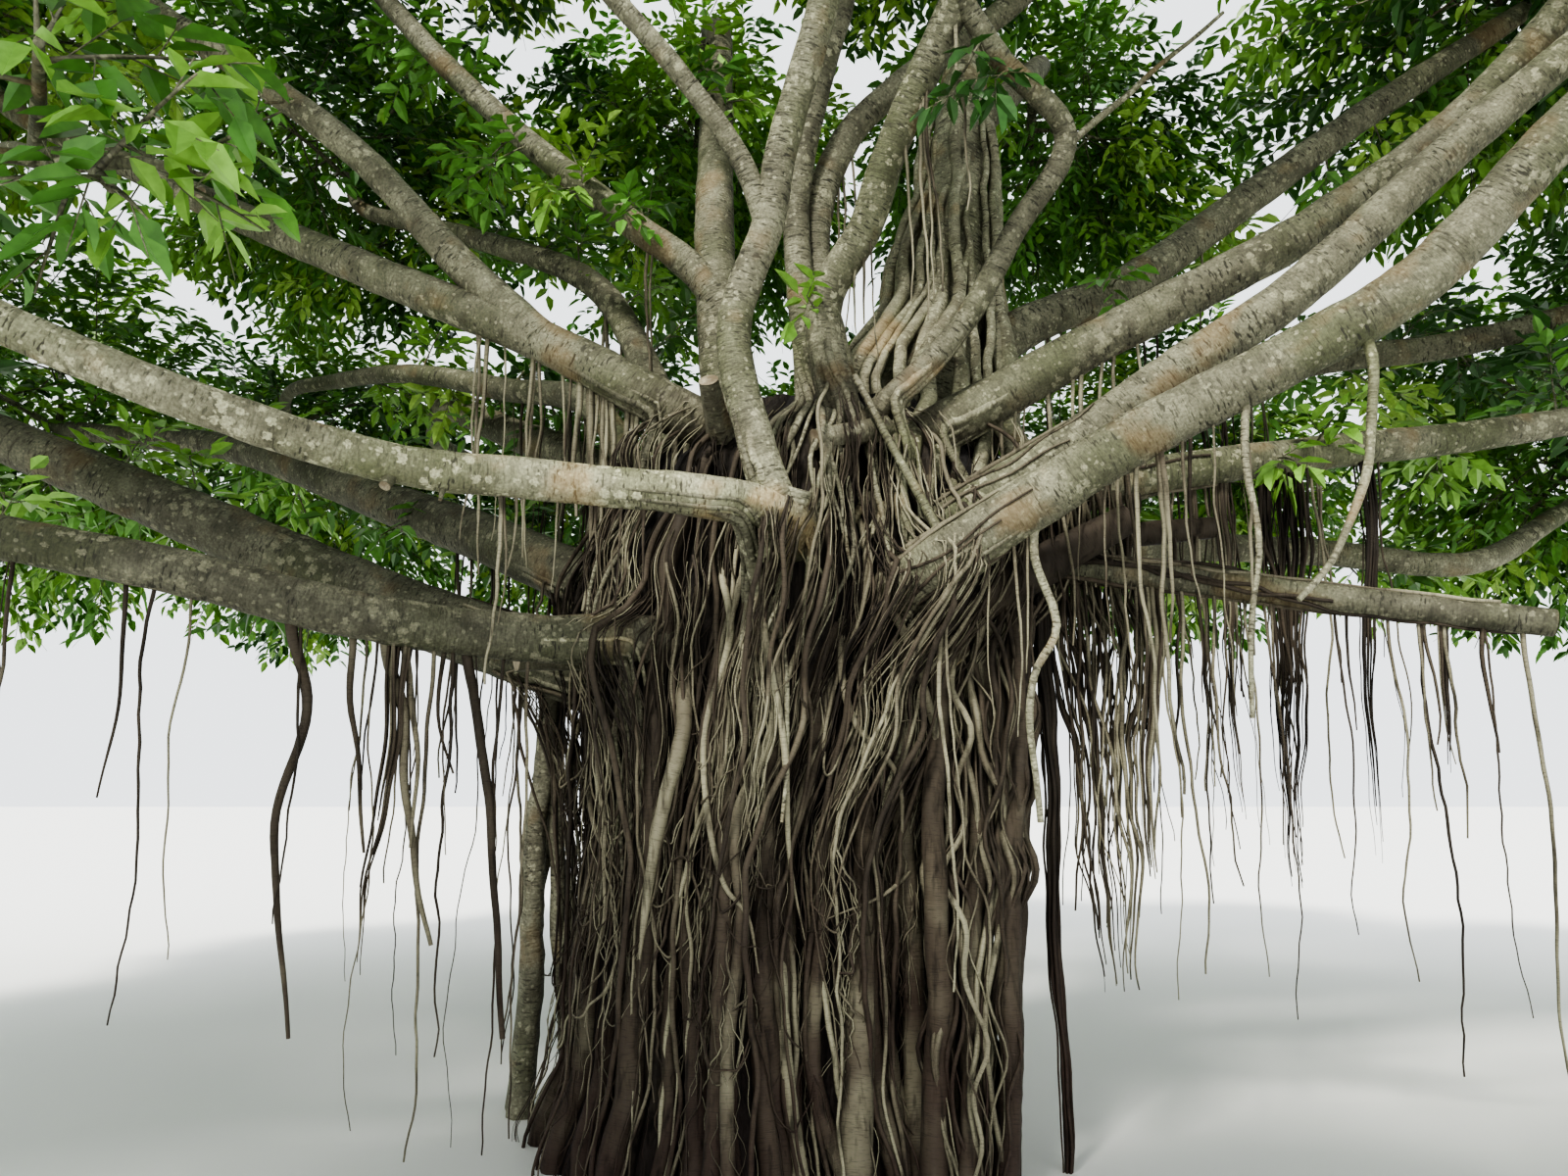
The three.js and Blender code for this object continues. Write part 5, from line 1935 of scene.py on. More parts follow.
def inner_sprays(boughs: Boughs, seed: int = 77) -> list[Spray]:
    """Fills the far side of the boughs.

    Args:
        boughs: The limbs.
        seed: The random source's seed.

    Returns:
        The sprays on the far side of the boughs, between the trunk and the masses.
    """
    rng = np.random.default_rng(seed)
    made = []
    for name, stretch, count in INNER_SPRAYS:
        line = boughs.lines[name]
        for i in range(count):
            share = stretch[0] + (stretch[1] - stretch[0]) * (i + rng.random()) / count
            ahead = line.heading(share)
            level = unit(np.cross(ahead, UP))
            back = level * math.copysign(rng.uniform(0.5, 1), level[1])
            along = unit(ahead * rng.uniform(0.2, 0.7) + back + UP * rng.uniform(-0.4, 0.8))
            made.append(Spray(line.share(share), along, unit(np.cross(along, UP)), rng.uniform(0.6, 1.0)))
    return made


@dataclass
class Growth:
    """The seeded rule of the part, that each mass of leaves grows by within its own space."""

    masses: tuple[Mass, ...]
    boughs: Boughs
    gap: float = 0.0003
    skirt: float = 2.5
    cell_margin: float = 0.032
    limb_margin: float = 0.03
    bead_step: float = 0.15
    bead_reach: float = 1.2
    stem_beads: int = 14
    checks: tuple[float, ...] = (0.35, 0.5, 0.65, 0.8, 0.9, 1)
    hub_short: float = 0.35
    forks_back: float = 0.36
    stem_bend: float = 0.45
    stem_slim: float = 0.6
    stem_girth: float = 0.05
    branches: int = 4
    branch_reach: float = 0.52
    share_step: float = 0.06
    least_reach: float = 0.22
    branch_rise: float = 0.12
    branch_slim: float = 0.46
    twig_tip: float = 0.022
    # Where each spray leaves its branch, how far it turns away, and round which side, in radians.
    # The first three are the part's own.
    places: tuple[Row, ...] = (
        (0.96, 0.1, 0), (0.8, 1, 0), (0.55, -1, 0), (0.9, 0.6, 1.57), (0.9, -0.6, 1.57),
        (0.7, 0.95, 1.05), (0.7, -0.95, 1.05), (0.62, 0.95, 2.1), (0.62, -0.95, 2.1),
        (0.42, 1.3, 1.57), (0.42, -1.3, 1.57), (0.3, 1.6, 0.5), (0.3, -1.6, 0.5),
    )
    # A mass with this mean half width or more has all the sprays.
    full_reach: float = 1.6
    spray_tip: float = 0.98
    spray_longest: float = 0.95
    spray_least: float = 0.25
    spray_width: float = 0.75
    spray_waist: float = 0.5
    spray_droop: float = 0.12
    first_seed: int = 101
    stems: dict[str, tuple[Bow, float]] = field(default_factory=dict)

    def __post_init__(self) -> None:
        """Lays the stems and gathers what all growth keeps clear of."""
        self.centres = np.array([m.centre for m in self.masses])
        places, sizes, owners = [], [], []
        for limb in self.boughs.rows:
            line = self.boughs.lines[limb.name]
            share = line.steps(self.bead_step)
            places.append(line.share(share))
            sizes.append(self.boughs.girth(limb, share))
            owners += [SHOOT] * len(share)
        for i, mass in enumerate(self.masses):
            stem, girth = self._stem(mass)
            self.stems[mass.name] = (stem, girth)
            share = np.linspace(0, 1, self.stem_beads + 1)
            places.append(stem.share(share))
            sizes.append(girth * (1 + (self.stem_slim - 1) * share))
            owners += [i] * len(share)
        self.beads = np.vstack(places)
        self.bead_sizes = np.concatenate(sizes)
        self.bead_owners = np.array(owners)

    def _stem(self, mass: Mass) -> tuple[Bow, float]:
        """Lays a mass's stem.

        Args:
            mass: The mass.

        Returns:
            A mass's stem and its half thickness.
        """
        line = self.boughs.lines[mass.limb]
        at_tip = mass.at == 1
        along = line.heading(mass.at)
        start = line.share(mass.at) + along * (self.gap if at_tip else 0)
        centre = np.array(mass.centre)
        hub = centre + (start - centre) * self.hub_short * mass.mean_reach / np.linalg.norm(start - centre)
        lead = along if at_tip else UP
        girth = min(self.boughs.named(mass.limb).girth[1], mass.mean_reach * self.stem_girth)
        return Bow([start, start + lead * np.linalg.norm(hub - start) * self.stem_bend, hub]), girth

    def holds(self, index: int, points: Array, margin: float) -> Array:
        """Tests points against a mass's space.

        Args:
            index: The mass's number, or that of the shoots, which only the tree's own size holds.
            points: The points.
            margin: How far inside its bounds they have to be.

        Returns:
            Which points lie in a mass's own space.
        """
        inside = points[..., 2] >= self.skirt + margin
        inside &= np.all((points > CAD_BOX[0] - BOX_SLACK) & (points < CAD_BOX[1] + BOX_SLACK), axis=-1)
        if index == SHOOT:
            return inside
        away = points - self.centres[index]
        inside &= np.sum((away / (np.array(self.masses[index].reach) - margin)) ** 2, axis=-1) <= 1
        others = np.delete(self.centres, index, axis=0) - self.centres[index]
        spans = np.linalg.norm(others, axis=1)
        return inside & np.all(away @ (others / spans[:, None]).T < spans / 2 - margin, axis=-1)

    def clears(self, index: int, points: Array, girth: float) -> Array:
        """Tests points against the wood.

        Args:
            index: The mass's number, or that of the shoots.
            points: The points.
            girth: Half thickness of what runs through them.

        Returns:
            Which points keep clear of the limbs and of the other masses' stems.
        """
        flat = points.reshape(-1, 3)
        low, high = flat.min(axis=0) - self.bead_reach, flat.max(axis=0) + self.bead_reach
        near = np.all((self.beads > low) & (self.beads < high), axis=1) & (self.bead_owners != index)
        gaps = np.linalg.norm(points[..., None, :] - self.beads[near], axis=-1)
        return np.all(gaps > self.bead_sizes[near] + girth + self.limb_margin, axis=-1)

    def _branch(self, index: int, root: Array, skin: Array, thick: float) -> Bow | None:
        """Grows a branch.

        Args:
            index: The mass's number.
            root: Where it leaves the stem.
            skin: Its direction times the mass's half widths.
            thick: Its half thickness.

        Returns:
            One branch as long as fits the mass's space, or nothing.
        """
        reach = self.branch_reach
        while reach > self.least_reach:
            end = self.centres[index] + skin * reach
            middle = (root + end) / 2 + UP * np.linalg.norm(end - root) * self.branch_rise
            branch = Bow([root, middle, end])
            tests = branch.at(np.array(self.checks))
            if self.holds(index, tests, self.cell_margin).all() and self.clears(index, tests, thick).all():
                return branch
            reach -= self.share_step
        return None

    def _spray(self, index: int, base: Array, skin: Array, hinge: Array) -> Spray | None:
        """Grows a spray.

        Args:
            index: The mass's number.
            base: Where it leaves its branch.
            skin: Its direction times the mass's half widths.
            hinge: The direction across it, before it is set square.

        Returns:
            One spray as large as fits the mass's space, or nothing.
        """
        mean = self.masses[index].mean_reach
        reach = self.spray_tip
        while reach > self.spray_least:
            end = self.centres[index] + skin * reach
            length = min(float(np.linalg.norm(end - base)), mean * self.spray_longest)
            along = unit(end - base)
            wide = unit(hinge - along * (hinge @ along))
            half = wide * self.spray_width / 2 * length
            tip = along * length
            middle = base + tip * self.spray_waist
            rim = np.array([middle + half, middle - half, base + tip])
            core = [base + tip * t for t in (0.3, 0.7, 1)] + [middle + half * 0.4, middle - half * 0.4]
            if (
                length > mean * self.spray_least
                and self.holds(index, rim, self.cell_margin).all()
                and self.clears(index, np.array(core), self.spray_width * 0.25 * length).all()
            ):
                return Spray(base, along, wide, length)
            reach -= self.share_step
        return None

    def grow(self, index: int) -> tuple[list[tuple[Bow, float]], list[Spray]]:
        """Grows a mass.

        Args:
            index: The mass's number.

        Returns:
            The branches of a mass, each with its girth, and all the sprays on them.
        """
        mass = self.masses[index]
        stem, girth = self.stems[mass.name]
        draw = random_from(self.first_seed + index)
        turn = draw() * TURN
        back = min(self.forks_back, self.hub_short * mass.mean_reach / stem.length)
        count = max(3, round(len(self.places) * mass.mean_reach / self.full_reach))
        branches, sprays = [], []
        for i in range(self.branches):
            up = 1 - 2 * (i + 0.5) / self.branches
            level = math.sqrt(1 - up * up)
            angle = turn + i * GOLDEN_ANGLE
            direction = np.array([math.cos(angle) * level, math.sin(angle) * level, up])
            hinge_turn = draw() * TURN
            share = 1 - back * (1 - ((i * 3) % self.branches) / (self.branches - 1))
            thick = max(girth * (1 + (self.stem_slim - 1) * share) * self.branch_slim, self.twig_tip)
            branch = self._branch(index, stem.at(share), direction * mass.reach, thick)
            if branch is None:
                continue
            branches.append((branch, thick))
            hinge = turned(unit(np.cross(UP, direction)), direction, hinge_turn)
            for at, bend, side in self.places[:count]:
                axis = turned(hinge, direction, side)
                aim = turned(direction, axis, bend) - UP * self.spray_droop
                spray = self._spray(index, branch.at(at), unit(aim) * mass.reach, axis)
                if spray is not None:
                    sprays.append(spray)
        return branches, sprays


@dataclass
class Leaves:
    """Leaves by their places, directions, upper sides, sizes and greens."""

    places: Array
    axes: Array
    normals: Array
    sizes: Array
    greens: Array

    def chosen(self, keep: Array) -> "Leaves":
        """Returns the leaves that a mask keeps."""
        return Leaves(*(values[keep] for values in vars(self).values()))

    @staticmethod
    def joined(parts: list["Leaves"]) -> "Leaves":
        """Returns several lots of leaves as one."""
        rows = zip(*(vars(part).values() for part in parts))
        return Leaves(*(np.concatenate(row) for row in rows))

    def turns(self) -> Array:
        """Works out the leaves' turns.

        Returns:
            Each leaf's turn as angles round X, Y and Z.
        """
        across = unit(np.cross(self.normals, self.axes))
        up = np.cross(self.axes, across)
        roll = np.arctan2(across[:, 2], up[:, 2])
        pitch = np.arcsin(np.clip(-self.axes[:, 2], -1, 1))
        yaw = np.arctan2(self.axes[:, 1], self.axes[:, 0])
        return np.stack([roll, pitch, yaw], axis=1)


@dataclass
class Foliage:
    """Twigs and leaves, carried on from the sprays that the part's rule gives."""

    growth: Growth
    greens: tuple[LeafGreen, ...]
    green_odds: tuple[float, ...]
    leaf_length: float = 0.148
    leaf_narrow: float = 0.46
    leaf_fold: float = 0.1
    leaf_spacing: float = 0.045
    side_twigs: float = 8.0
    least_twigs: int = 5
    twig_girth: Pair = (0.009, 0.003)
    side_girth: Pair = (0.0028, 0.0015)
    side_tone: float = 0.6
    seed: int = 31

    def leaf(self) -> Object:
        """Models a leaf.

        Returns:
            One leaf of unit length: a pointed oval folded along its middle.
        """
        half = self.leaf_narrow / 2
        rim = ((0.32, half, self.leaf_fold), (0.7, half * 0.72, self.leaf_fold * 0.5))
        points = [(0, 0, 0), *rim, (1, 0, -0.06), *((x, -y, z) for x, y, z in rim)]
        mesh = bpy.data.meshes.new("leaf")
        mesh.from_pydata(points, [], [(0, 3, 2), (0, 2, 1), (0, 5, 3), (0, 4, 5)])
        return loose_object("leaf_pattern", mesh)

    def tree(self, effects: Effects) -> NodeTree:
        """Builds the tree that sets the leaves.

        Args:
            effects: The shared shader groups.

        Returns:
            The tree that sets a leaf on every point, turned, sized and coloured.
        """
        inputs = {"Points": (SHAPE, None), "Leaf": ("NodeSocketObject", None), "Leaf Length": (NUMBER, 1.0)}
        graph, start, end = socketed("leafing", "GeometryNodeTree", inputs, {"Leaves": SHAPE})
        turn, size = graph.stored("turn", "FLOAT_VECTOR"), graph.stored("size")
        green = graph.stored("green", "INT")
        pattern = graph.add("GeometryNodeObjectInfo", {"Object": start["Leaf"]}).outputs["Geometry"]
        scale = graph.times(size, start["Leaf Length"])
        inputs = {"Points": start["Points"], "Instance": pattern, "Rotation": turn, "Scale": scale}
        placed = graph.out("GeometryNodeInstanceOnPoints", inputs)
        shown = graph.out("GeometryNodeRealizeInstances", {"Geometry": placed})
        for number, finish in enumerate(self.greens):
            inputs = {2: green, 3: number}
            test = graph.out("FunctionNodeCompare", inputs, data_type="INT", operation="EQUAL")
            inputs = {"Geometry": shown, "Selection": test, "Material": finish.material(effects)}
            shown = graph.out("GeometryNodeSetMaterial", inputs)
        graph.feed(end, {"Leaves": shown})
        return graph.tree

    def twigs_and_leaves(self, index: int, sprays: list[Spray]) -> tuple[list[Strand], list[Strand], Leaves]:
        """Grows the sprays of one mass out to leaves.

        Args:
            index: The mass's number.
            sprays: Its sprays.

        Returns:
            The sprays' main twigs, their side twigs, and the leaves.
        """
        rng = np.random.default_rng(self.seed + index)
        mains, sides, leaves = [], [], []
        for spray in sprays:
            green = int(rng.choice(len(self.greens), p=self.green_odds))
            line = self._main(spray)
            mains.append(Strand.tapered(line, self.twig_girth, 6))
            count = max(3, round(min(1, spray.length) * self.least_twigs + self.side_twigs * spray.length))
            t = np.linspace(0.14, 0.98, count)
            roll = np.arange(count) * GOLDEN_ANGLE + rng.uniform(*ANY_ANGLE)
            thin = np.cross(spray.along, spray.wide)
            across = unit(np.cos(roll)[:, None] * spray.wide + 0.7 * np.sin(roll)[:, None] * thin)
            lean = np.radians(66 - 34 * t)[:, None]
            aim = unit(spray.along * np.cos(lean) + across * np.sin(lean) - UP * 0.08)
            length = np.clip(spray.length * (0.48 - 0.26 * t), 0.16, 0.8) * rng.uniform(0.75, 1.2, count)
            base = line.at(t)
            for shorter in (1, 0.6):
                far = base + aim * length[:, None]
                fits = self.growth.holds(index, far, 0.02) & self.growth.clears(index, far, 0.0)
                length = np.where(fits | (shorter != 1), length, length * 0.6)
            base, aim, length = base[fits], aim[fits], length[fits]
            ends = base + (aim - UP * 0.12) * length[:, None]
            girth = np.array(self.side_girth)
            sides += [Strand(np.stack(pair), girth, self.side_tone) for pair in zip(base, ends)]
            leaves.append(self._leafed(rng, base, aim, length, green))
        found = Leaves.joined(leaves)
        tips = found.places + found.axes * (found.sizes * self.leaf_length)[:, None]
        keep = self.growth.holds(index, tips, 0.0)
        keep &= self._free(index, tips) & self._free(index, found.places)
        return mains, sides, found.chosen(keep)

    def _free(self, index: int, points: Array) -> Array:
        """Returns which points are outside the limbs, tested in lots."""
        lots = np.array_split(points, max(1, len(points) // 4000))
        return np.concatenate([self.growth.clears(index, lot, -0.02) for lot in lots])

    def _main(self, spray: Spray) -> Bow:
        """Arches a spray's main twig.

        Args:
            spray: The spray.

        Returns:
            A spray's main twig, which arches a little.
        """
        end = spray.base + spray.along * spray.length
        middle = (spray.base + end) / 2 + UP * spray.length * 0.06
        return Bow([spray.base, middle, end])

    def _leafed(self, rng: Rng, base: Array, aim: Array, length: Array, green: int) -> Leaves:
        """Sets leaves on side twigs.

        Args:
            rng: The random source.
            base: The twigs' feet.
            aim: Their directions.
            length: Their lengths.
            green: The number of the spray's green.

        Returns:
            The leaves of a spray's side twigs, turn and turn about along each.
        """
        counts = np.clip(np.round(length / self.leaf_spacing), 5, 16).astype(int)
        twig = np.repeat(np.arange(len(base)), counts)
        order = np.arange(len(twig)) - np.repeat(np.cumsum(counts) - counts, counts)
        t = (order + 1) / counts[twig]
        along = aim[twig]
        reach = length[twig]
        places = base[twig] + along * (reach * t)[:, None] - UP * (0.12 * reach * t**2)[:, None]
        out = unit(np.cross(along, UP + 0.01))
        side = np.where(order % 2, 1.0, -1.0) * np.where(order + 1 == counts[twig], 0.15, 1)
        tilt = rng.uniform(-0.5, 0.7, len(twig))
        across = turned(out, along, tilt)
        droop = UP * rng.uniform(0.05, 0.5, len(twig))[:, None]
        axes = unit(along * 0.6 + across * side[:, None] * 0.8 - droop)
        loose = rng.normal(0, 0.35, (len(twig), 3))
        normals = unit(UP + loose - axes * np.sum((UP + loose) * axes, axis=1, keepdims=True))
        sizes = rng.uniform(0.72, 1.2, len(twig)) * np.where(order < 2, 0.85, 1)
        return Leaves(places, axes, normals, sizes, np.full(len(twig), green, np.int32))

    def piece(self, name: str, leaves: Leaves, tree: NodeTree, leaf: Object, nodes: Names) -> Object:
        """Makes a piece of leaves.

        Args:
            name: The piece's name.
            leaves: The leaves.
            tree: The tree that sets them.
            leaf: The leaf that it repeats.
            nodes: The masses' nodes.

        Returns:
            One piece of leaves that stands for some masses.
        """
        turns, sizes = leaves.turns().astype(np.float32), leaves.sizes.astype(np.float32)
        values = {"turn": turns, "size": sizes, "green": leaves.greens}
        mesh = point_mesh(name, leaves.places, np.zeros((0, 2)), values)
        made = modelled(name, mesh, tree, {"Leaf": leaf, "Leaf Length": self.leaf_length})
        return settled(made, nodes)


# The scene.


# The last number of each is how much painted shade darkens the limbs where they meet the trunk.
BARK = LimbBark("bark_limbs", (0.3, 0.295, 0.21), (0.115, 0.11, 0.076), 0.16, 0.034, 0.34, 0.85)
PALE_ROOT_BARK = LimbBark("bark_pale_roots", (0.31, 0.305, 0.22), (0.14, 0.13, 0.09), 0.12, 0.03, 0.25, 0.25)
# The trunk's body is near black: painted shade for the deep gaps between the roots, with dark vertical
# streaks that paint roots in shadow.
TRUNK_SHADE_BARK = RootBark(
    "bark_trunk", (0.006, 0.0045, 0.004), (0.026, 0.02, 0.015), (0.085, 0.07, 0.05), (0.02, 0.012, 0.01), 1.5,
    streak=(42, 42, 2.5), relief=0.02,
)
ROOT_BARK = RootBark(
    "bark_roots", (0.018, 0.013, 0.009), (0.072, 0.057, 0.04), (0.29, 0.275, 0.195), (0.046, 0.027, 0.02),
    1.35,
)
END_GRAIN = CutWood("end_grain", (0.4, 0.36, 0.27), (0.15, 0.12, 0.08))
GREENS = (
    LeafGreen("leaf_bright", (0.235, 0.44, 0.09)),
    LeafGreen("leaf_mid", (0.145, 0.33, 0.066)),
    LeafGreen("leaf_deep", (0.092, 0.225, 0.046), 0.38),
    LeafGreen("leaf_fresh", (0.34, 0.54, 0.125), 0.48),
    LeafGreen("leaf_dark", (0.055, 0.145, 0.036), 0.36),
)
GREEN_ODDS = (0.3, 0.32, 0.18, 0.1, 0.1)


@dataclass(frozen=True)
class Stub:
    """The end of a broken limb: its foot, its tip, and its half thickness at both."""

    foot: Row
    tip: Row
    girth: Pair

    def strand(self) -> Strand:
        """Returns the stub as a strand."""
        return Strand(np.linspace(self.foot, self.tip, 10), np.linspace(*self.girth, 10), 0.3)


STUBS = (
    Stub((-0.1, -0.96, 2.3), (-0.18, -1.07, 2.45), (0.062, 0.05)),
    Stub((-0.38, -0.6, 3.3), (-0.43, -0.84, 3.5), (0.07, 0.05)),
    Stub((0.4, -0.74, 3.3), (0.06, -0.92, 3.19), (0.066, 0.052)),
    Stub((-0.95, -0.42, 2.3), (-1.32, -0.6, 2.26), (0.11, 0.09)),
    Stub((-1.41, -1.53, 2.83), (-1.415, -1.56, 2.74), (0.024, 0.008)),
    Stub((-1.59, -1.6, 2.84), (-1.6, -1.65, 2.77), (0.032, 0.024)),
    Stub((-2.37, -1.88, 3.08), (-2.36, -1.99, 3.1), (0.034, 0.025)),
    Stub((-3.1, -0.28, 4.7), (-3.12, -0.4, 4.7), (0.045, 0.034)),
)
DARK_STUBS = (
    Stub((0.75, -0.75, 2.45), (1.5, -0.78, 2.86), (0.12, 0.07)),
    Stub((1.2, -0.35, 2.84), (2.05, -0.35, 2.92), (0.07, 0.055)),
)


@dataclass(frozen=True)
class SawnEnds:
    """Discs of end grain on the ends of cut limbs."""

    sides: int = 28
    rings: int = 4
    share: float = 0.93
    proud: float = 0.004

    def mesh(self, ends: list[Strand]) -> Mesh:
        """Caps sawn ends.

        Args:
            ends: The strands.

        Returns:
            One disc on the last point of each strand.
        """
        points, faces = [], []
        for end in ends:
            along = unit(end.points[-1] - end.points[-2])
            across = unit(np.cross(along, UP + 0.1))
            over = np.cross(along, across)
            first = len(points)
            points.append(end.points[-1] + along * self.proud * 2)
            for ring in range(1, self.rings + 1):
                reach = ring / self.rings
                for i in range(self.sides):
                    angle = TURN * i / self.sides
                    spoke = across * math.cos(angle) + over * math.sin(angle)
                    crown = along * self.proud * (2 - reach)
                    points.append(end.points[-1] + spoke * end.girth[-1] * self.share * reach + crown)
            for i in range(self.sides):
                j = (i + 1) % self.sides
                faces.append((first, first + 1 + j, first + 1 + i))
                for ring in range(self.rings - 1):
                    a, b = first + 1 + ring * self.sides, first + 1 + (ring + 1) * self.sides
                    faces.append((a + i, a + j, b + j, b + i))
        mesh = bpy.data.meshes.new("sawn_ends")
        mesh.from_pydata(points, [], faces)
        return mesh


@dataclass
class Banyan:
    """The whole tree, built piece by piece."""

    effects: Effects
    tubes: Tubes
    boughs: Boughs
    trunk: Trunk
    roots: AerialRoots
    foliage: Foliage
    branch_tip: float = 0.011

    def build(self) -> None:
        """Makes every piece."""
        self._wood()
        self._roots()
        self._crown()

    def _wood(self) -> None:
        """Makes the trunk's body and the limbs."""
        # The trunk's body is painted in shade.
        bark = TRUNK_SHADE_BARK.material(self.effects)
        body = loose_object("trunk_body", self.trunk.body())
        body.data.materials.append(bark)
        settled(body, ("trunk",))
        growth = self.foliage.growth
        feeds = {mass.limb: mass.name for mass in growth.masses if mass.at == 1}
        groups = []
        for limb in self.boughs.rows:
            stem, girth = None, (0.0, 0.0)
            if limb.name in feeds:
                stem, thick = growth.stems[feeds[limb.name]]
                girth = (thick, thick * growth.stem_slim)
            groups.append(([self.boughs.strand(limb, stem, girth)], (limb.name,)))
        pale = BARK.material(self.effects)
        self.tubes.grow_many("boughs", groups, pale, "boughs", Relief(18, 0.26, 5.0, 0.1, 0.06))
        cut = next(strands[0] for strands, nodes in groups if nodes == (CUT_LIMB,))
        ends = [cut, *(stub.strand() for stub in STUBS + DARK_STUBS)]
        discs = loose_object("sawn_ends", SawnEnds().mesh(ends))
        discs.data.materials.append(END_GRAIN.material(self.effects))
        settled(discs)

    def _roots(self) -> None:
        """Makes the roots."""
        bark = ROOT_BARK.material(self.effects)
        roots = self.roots
        stout = roots.stout() + roots.free(COLUMN_STEMS) + [stub.strand() for stub in DARK_STUBS]
        ropes = roots.roped() + roots.wraps() + roots.free(LEFT_HANGERS)
        pale = [
            (roots.up_leader(), ()),
            (roots.free(LEFT_PROPS), ("prop_root_left",)),
            (roots.free(FRONT_STEMS) + roots.collars() + [stub.strand() for stub in STUBS], ()),
        ]
        bundles = [(roots.bundle(row), (row.node,) if row.node else ()) for row in BUNDLES]
        for name, groups, material, relief in (
            ("thick_roots", [(stout, ())], bark, Relief(10, 0.35, 9.0, 0.12, 0.05)),
            ("rope_roots", apart(ropes), bark, Relief(6, 0.45, 14.0, 0.15, 0.04)),
            ("pale_roots", pale, PALE_ROOT_BARK.material(self.effects), Relief(6, 0.4, 9.0, 0.12, 0.05)),
            ("hanging_roots", bundles + apart(roots.hanging()), bark, Relief(4, 0.5, 30.0, 0.15, 0.03)),
            ("trunk_roots", apart(roots.clothing()), bark, Relief(3, 0.4, 30.0, 0.15, 0.03)),
        ):
            self.tubes.grow_many(name, groups, material, "roots", relief)

    def _crown(self) -> None:
        """Makes the twigs and the leaves."""
        growth, twigs_and_leaves = self.foliage.growth, self.foliage.twigs_and_leaves
        bark = bpy.data.materials[BARK.name]
        wood, twigs, lots = [], [], []
        for index, mass in enumerate(growth.masses):
            branches, sprays = growth.grow(index)
            limbs = [Strand.tapered(line, (thick, self.branch_tip), 14) for line, thick in branches]
            if mass.at != 1:
                stem, thick = growth.stems[mass.name]
                limbs.append(Strand.tapered(stem, (thick, thick * growth.stem_slim), 20))
            mains, sides, leaves = twigs_and_leaves(index, sprays)
            wood.append((limbs, ()))
            for strands, most in ((mains, 50), (sides, 400)):
                twigs += [(strands[i : i + most], ()) for i in range(0, len(strands), most)]
            lots.append((leaves, (mass.name,)))
            log.info("%s: %d sprays, %d leaves", mass.name, len(sprays), len(leaves.sizes))
        sprays = inner_sprays(self.boughs) + [shoot.spray(self.boughs) for shoot in SHOOTS]
        mains, sides, leaves = twigs_and_leaves(SHOOT, sprays)
        twigs.append((mains + sides, ()))
        lots.append((leaves, ()))
        self.tubes.grow_many("branches", wood, bark, "boughs", Relief(10, 0.2, 8.0, 0.1, 0.05))
        self.tubes.grow_many("twigs", twigs, bark, "boughs", Relief(3, 0.0, 8.0))
        self._leaves(lots)

    def _leaves(self, lots: list[tuple[Leaves, Names]]) -> None:
        """Makes the leaves, as many masses to a piece as fit.

        Args:
            lots: The leaves of each mass, with its node.
        """
        leaf = self.foliage.leaf()
        tree = self.foliage.tree(self.effects)
        faces = len(leaf.data.polygons)
        rows = (([leaves], len(leaves.sizes) * faces, nodes) for leaves, nodes in lots)
        for number, batch, nodes in in_lots(rows):
            self.foliage.piece(f"leaves_{number}", Leaves.joined(batch), tree, leaf, nodes)
        bpy.data.objects.remove(leaf)


@dataclass(frozen=True)
class Sun:
    """A distant light: its name, azimuth and height in degrees, strength, softness in degrees and colour."""

    name: str
    azimuth: float
    height: float
    strength: float
    softness: float
    colour: Colour


SUNS = (
    Sun("key_sun", -115, 46, 4.0, 10, (1.0, 0.96, 0.88)),
    Sun("low_front_light", -80, 9, 0.8, 30, (1.0, 0.98, 0.95)),
)


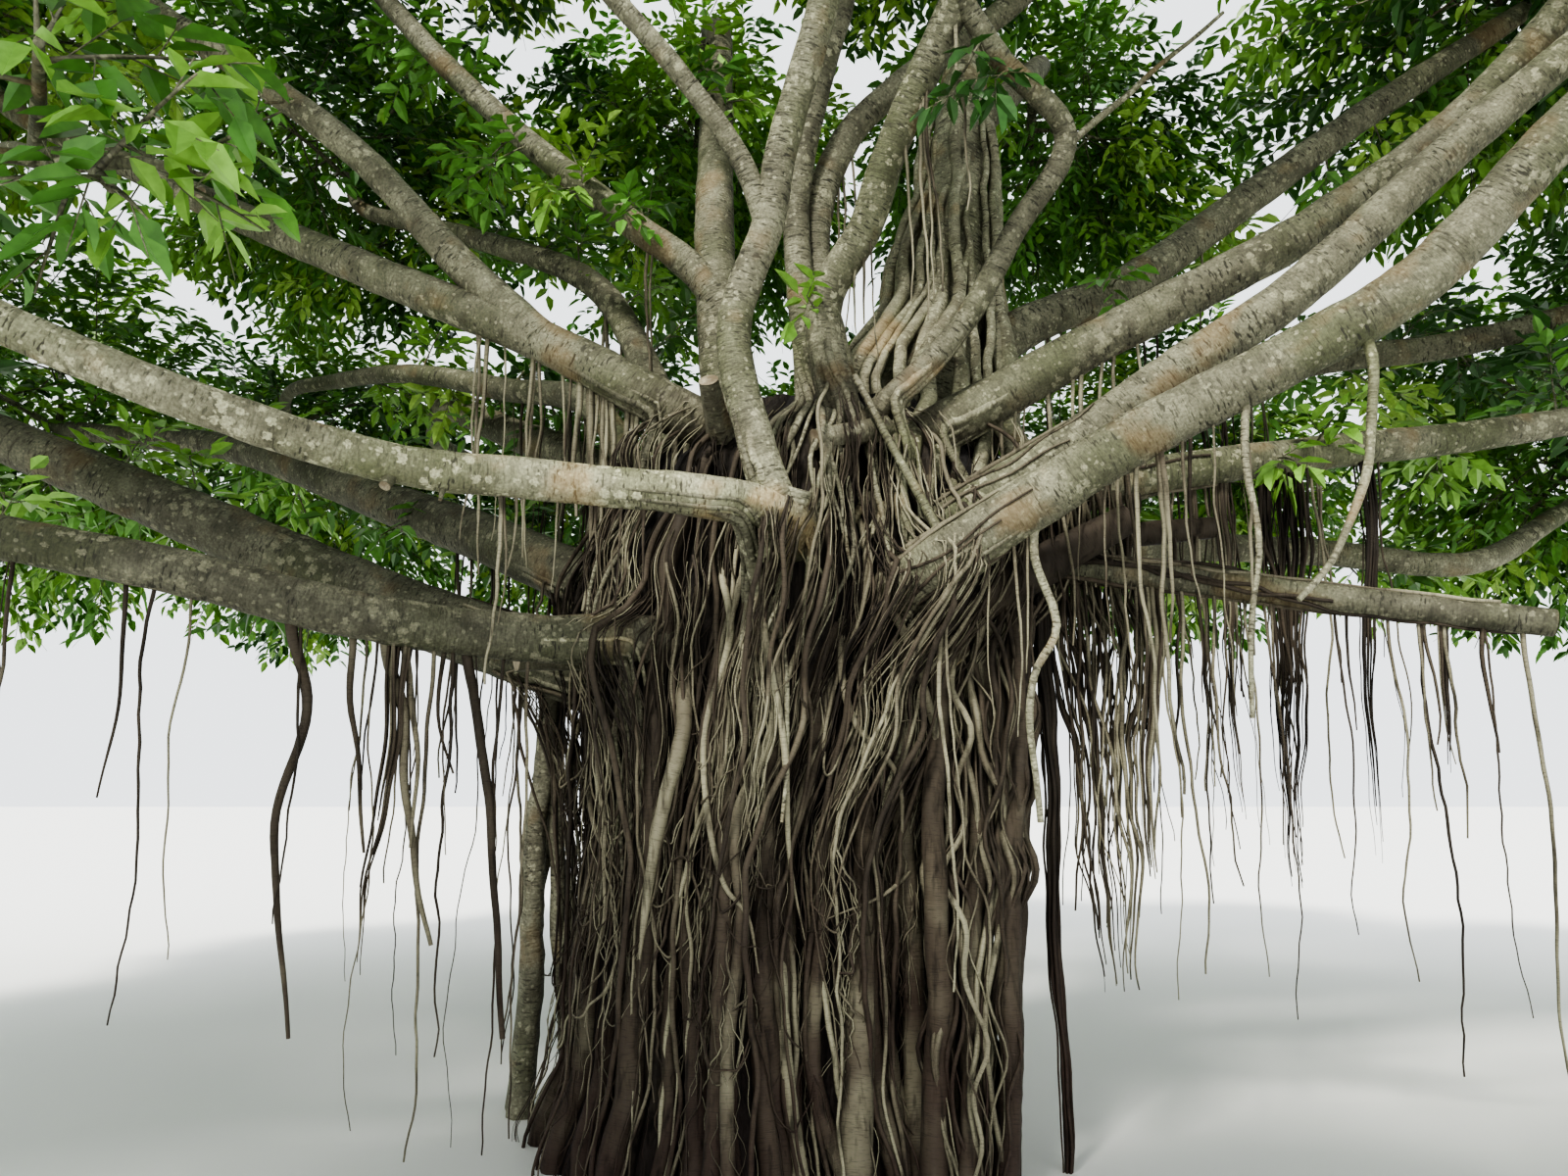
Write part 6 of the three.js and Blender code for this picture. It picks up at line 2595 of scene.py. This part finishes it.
@dataclass(frozen=True)
class Studio:
    """A plain pale floor and soft light, with the camera where the photograph was taken."""

    camera_place: Row = (-0.08, -5.8, 1.6)
    camera_tilt: float = 10.54
    lens: float = 25.875
    floor_size: float = 400.0
    floor_colour: Colour = (0.75, 0.75, 0.73)
    sky: float = 1.4
    sky_colour: Colour = (0.93, 0.97, 1.0)

    def build(self) -> None:
        """Builds the floor, the lights and the camera."""
        self._floor()
        self._world()
        for sun in SUNS:
            self._sun(sun)
        self._camera()

    def _floor(self) -> None:
        """Makes the floor."""
        half = self.floor_size / 2
        mesh = bpy.data.meshes.new("floor")
        corners = [(-half, -half, 0), (half, -half, 0), (half, half, 0), (-half, half, 0)]
        mesh.from_pydata(corners, [], [(0, 1, 2, 3)])
        graph, surface = blank_material("floor")
        graph.feed(surface, {"Base Color": (*self.floor_colour, 1), "Roughness": 0.9})
        mesh.materials.append(bpy.data.materials["floor"])
        loose_object("floor", mesh)

    def _world(self) -> None:
        """Sets an even pale sky, and how light is shown."""
        world = bpy.data.worlds.new("sky")
        world.use_nodes = True
        background = world.node_tree.nodes["Background"]
        background.inputs["Color"].default_value = (*self.sky_colour, 1)
        background.inputs["Strength"].default_value = self.sky
        bpy.context.scene.world = world
        bpy.context.scene.view_settings.view_transform = "AgX"
        bpy.context.scene.view_settings.look = "AgX - High Contrast"

    def _sun(self, sun: Sun) -> None:
        """Adds a distant light.

        Args:
            sun: The light.
        """
        light = bpy.data.lights.new(sun.name, "SUN")
        light.energy, light.angle, light.color = sun.strength, math.radians(sun.softness), sun.colour
        lamp = bpy.data.objects.new(sun.name, light)
        lamp.rotation_euler = Vector(heading(sun.azimuth, sun.height)).to_track_quat("Z", "Y").to_euler()
        bpy.context.scene.collection.objects.link(lamp)

    def _camera(self) -> None:
        """Sets the camera."""
        lens = bpy.data.cameras.new("camera")
        lens.lens, lens.sensor_width, lens.clip_start, lens.clip_end = self.lens, 36.0, 0.05, 500.0
        camera = bpy.data.objects.new("camera", lens)
        camera.location = self.camera_place
        camera.rotation_euler = (math.radians(90 + self.camera_tilt), 0, 0)
        bpy.context.scene.collection.objects.link(camera)
        bpy.context.scene.camera = camera


def main() -> None:
    """Builds the tree and its studio."""
    logging.basicConfig(level=logging.INFO, format="%(message)s")
    boughs = Boughs(LIMBS, TRUNK)
    trunk = Trunk(TRUNK)
    tree = Banyan(
        effects=Effects(),
        tubes=Tubes(),
        boughs=boughs,
        trunk=trunk,
        roots=AerialRoots(trunk, boughs),
        foliage=Foliage(Growth(MASSES, boughs), GREENS, GREEN_ODDS),
    )
    tree.build()
    Studio().build()


if __name__ == "__main__":
    main()
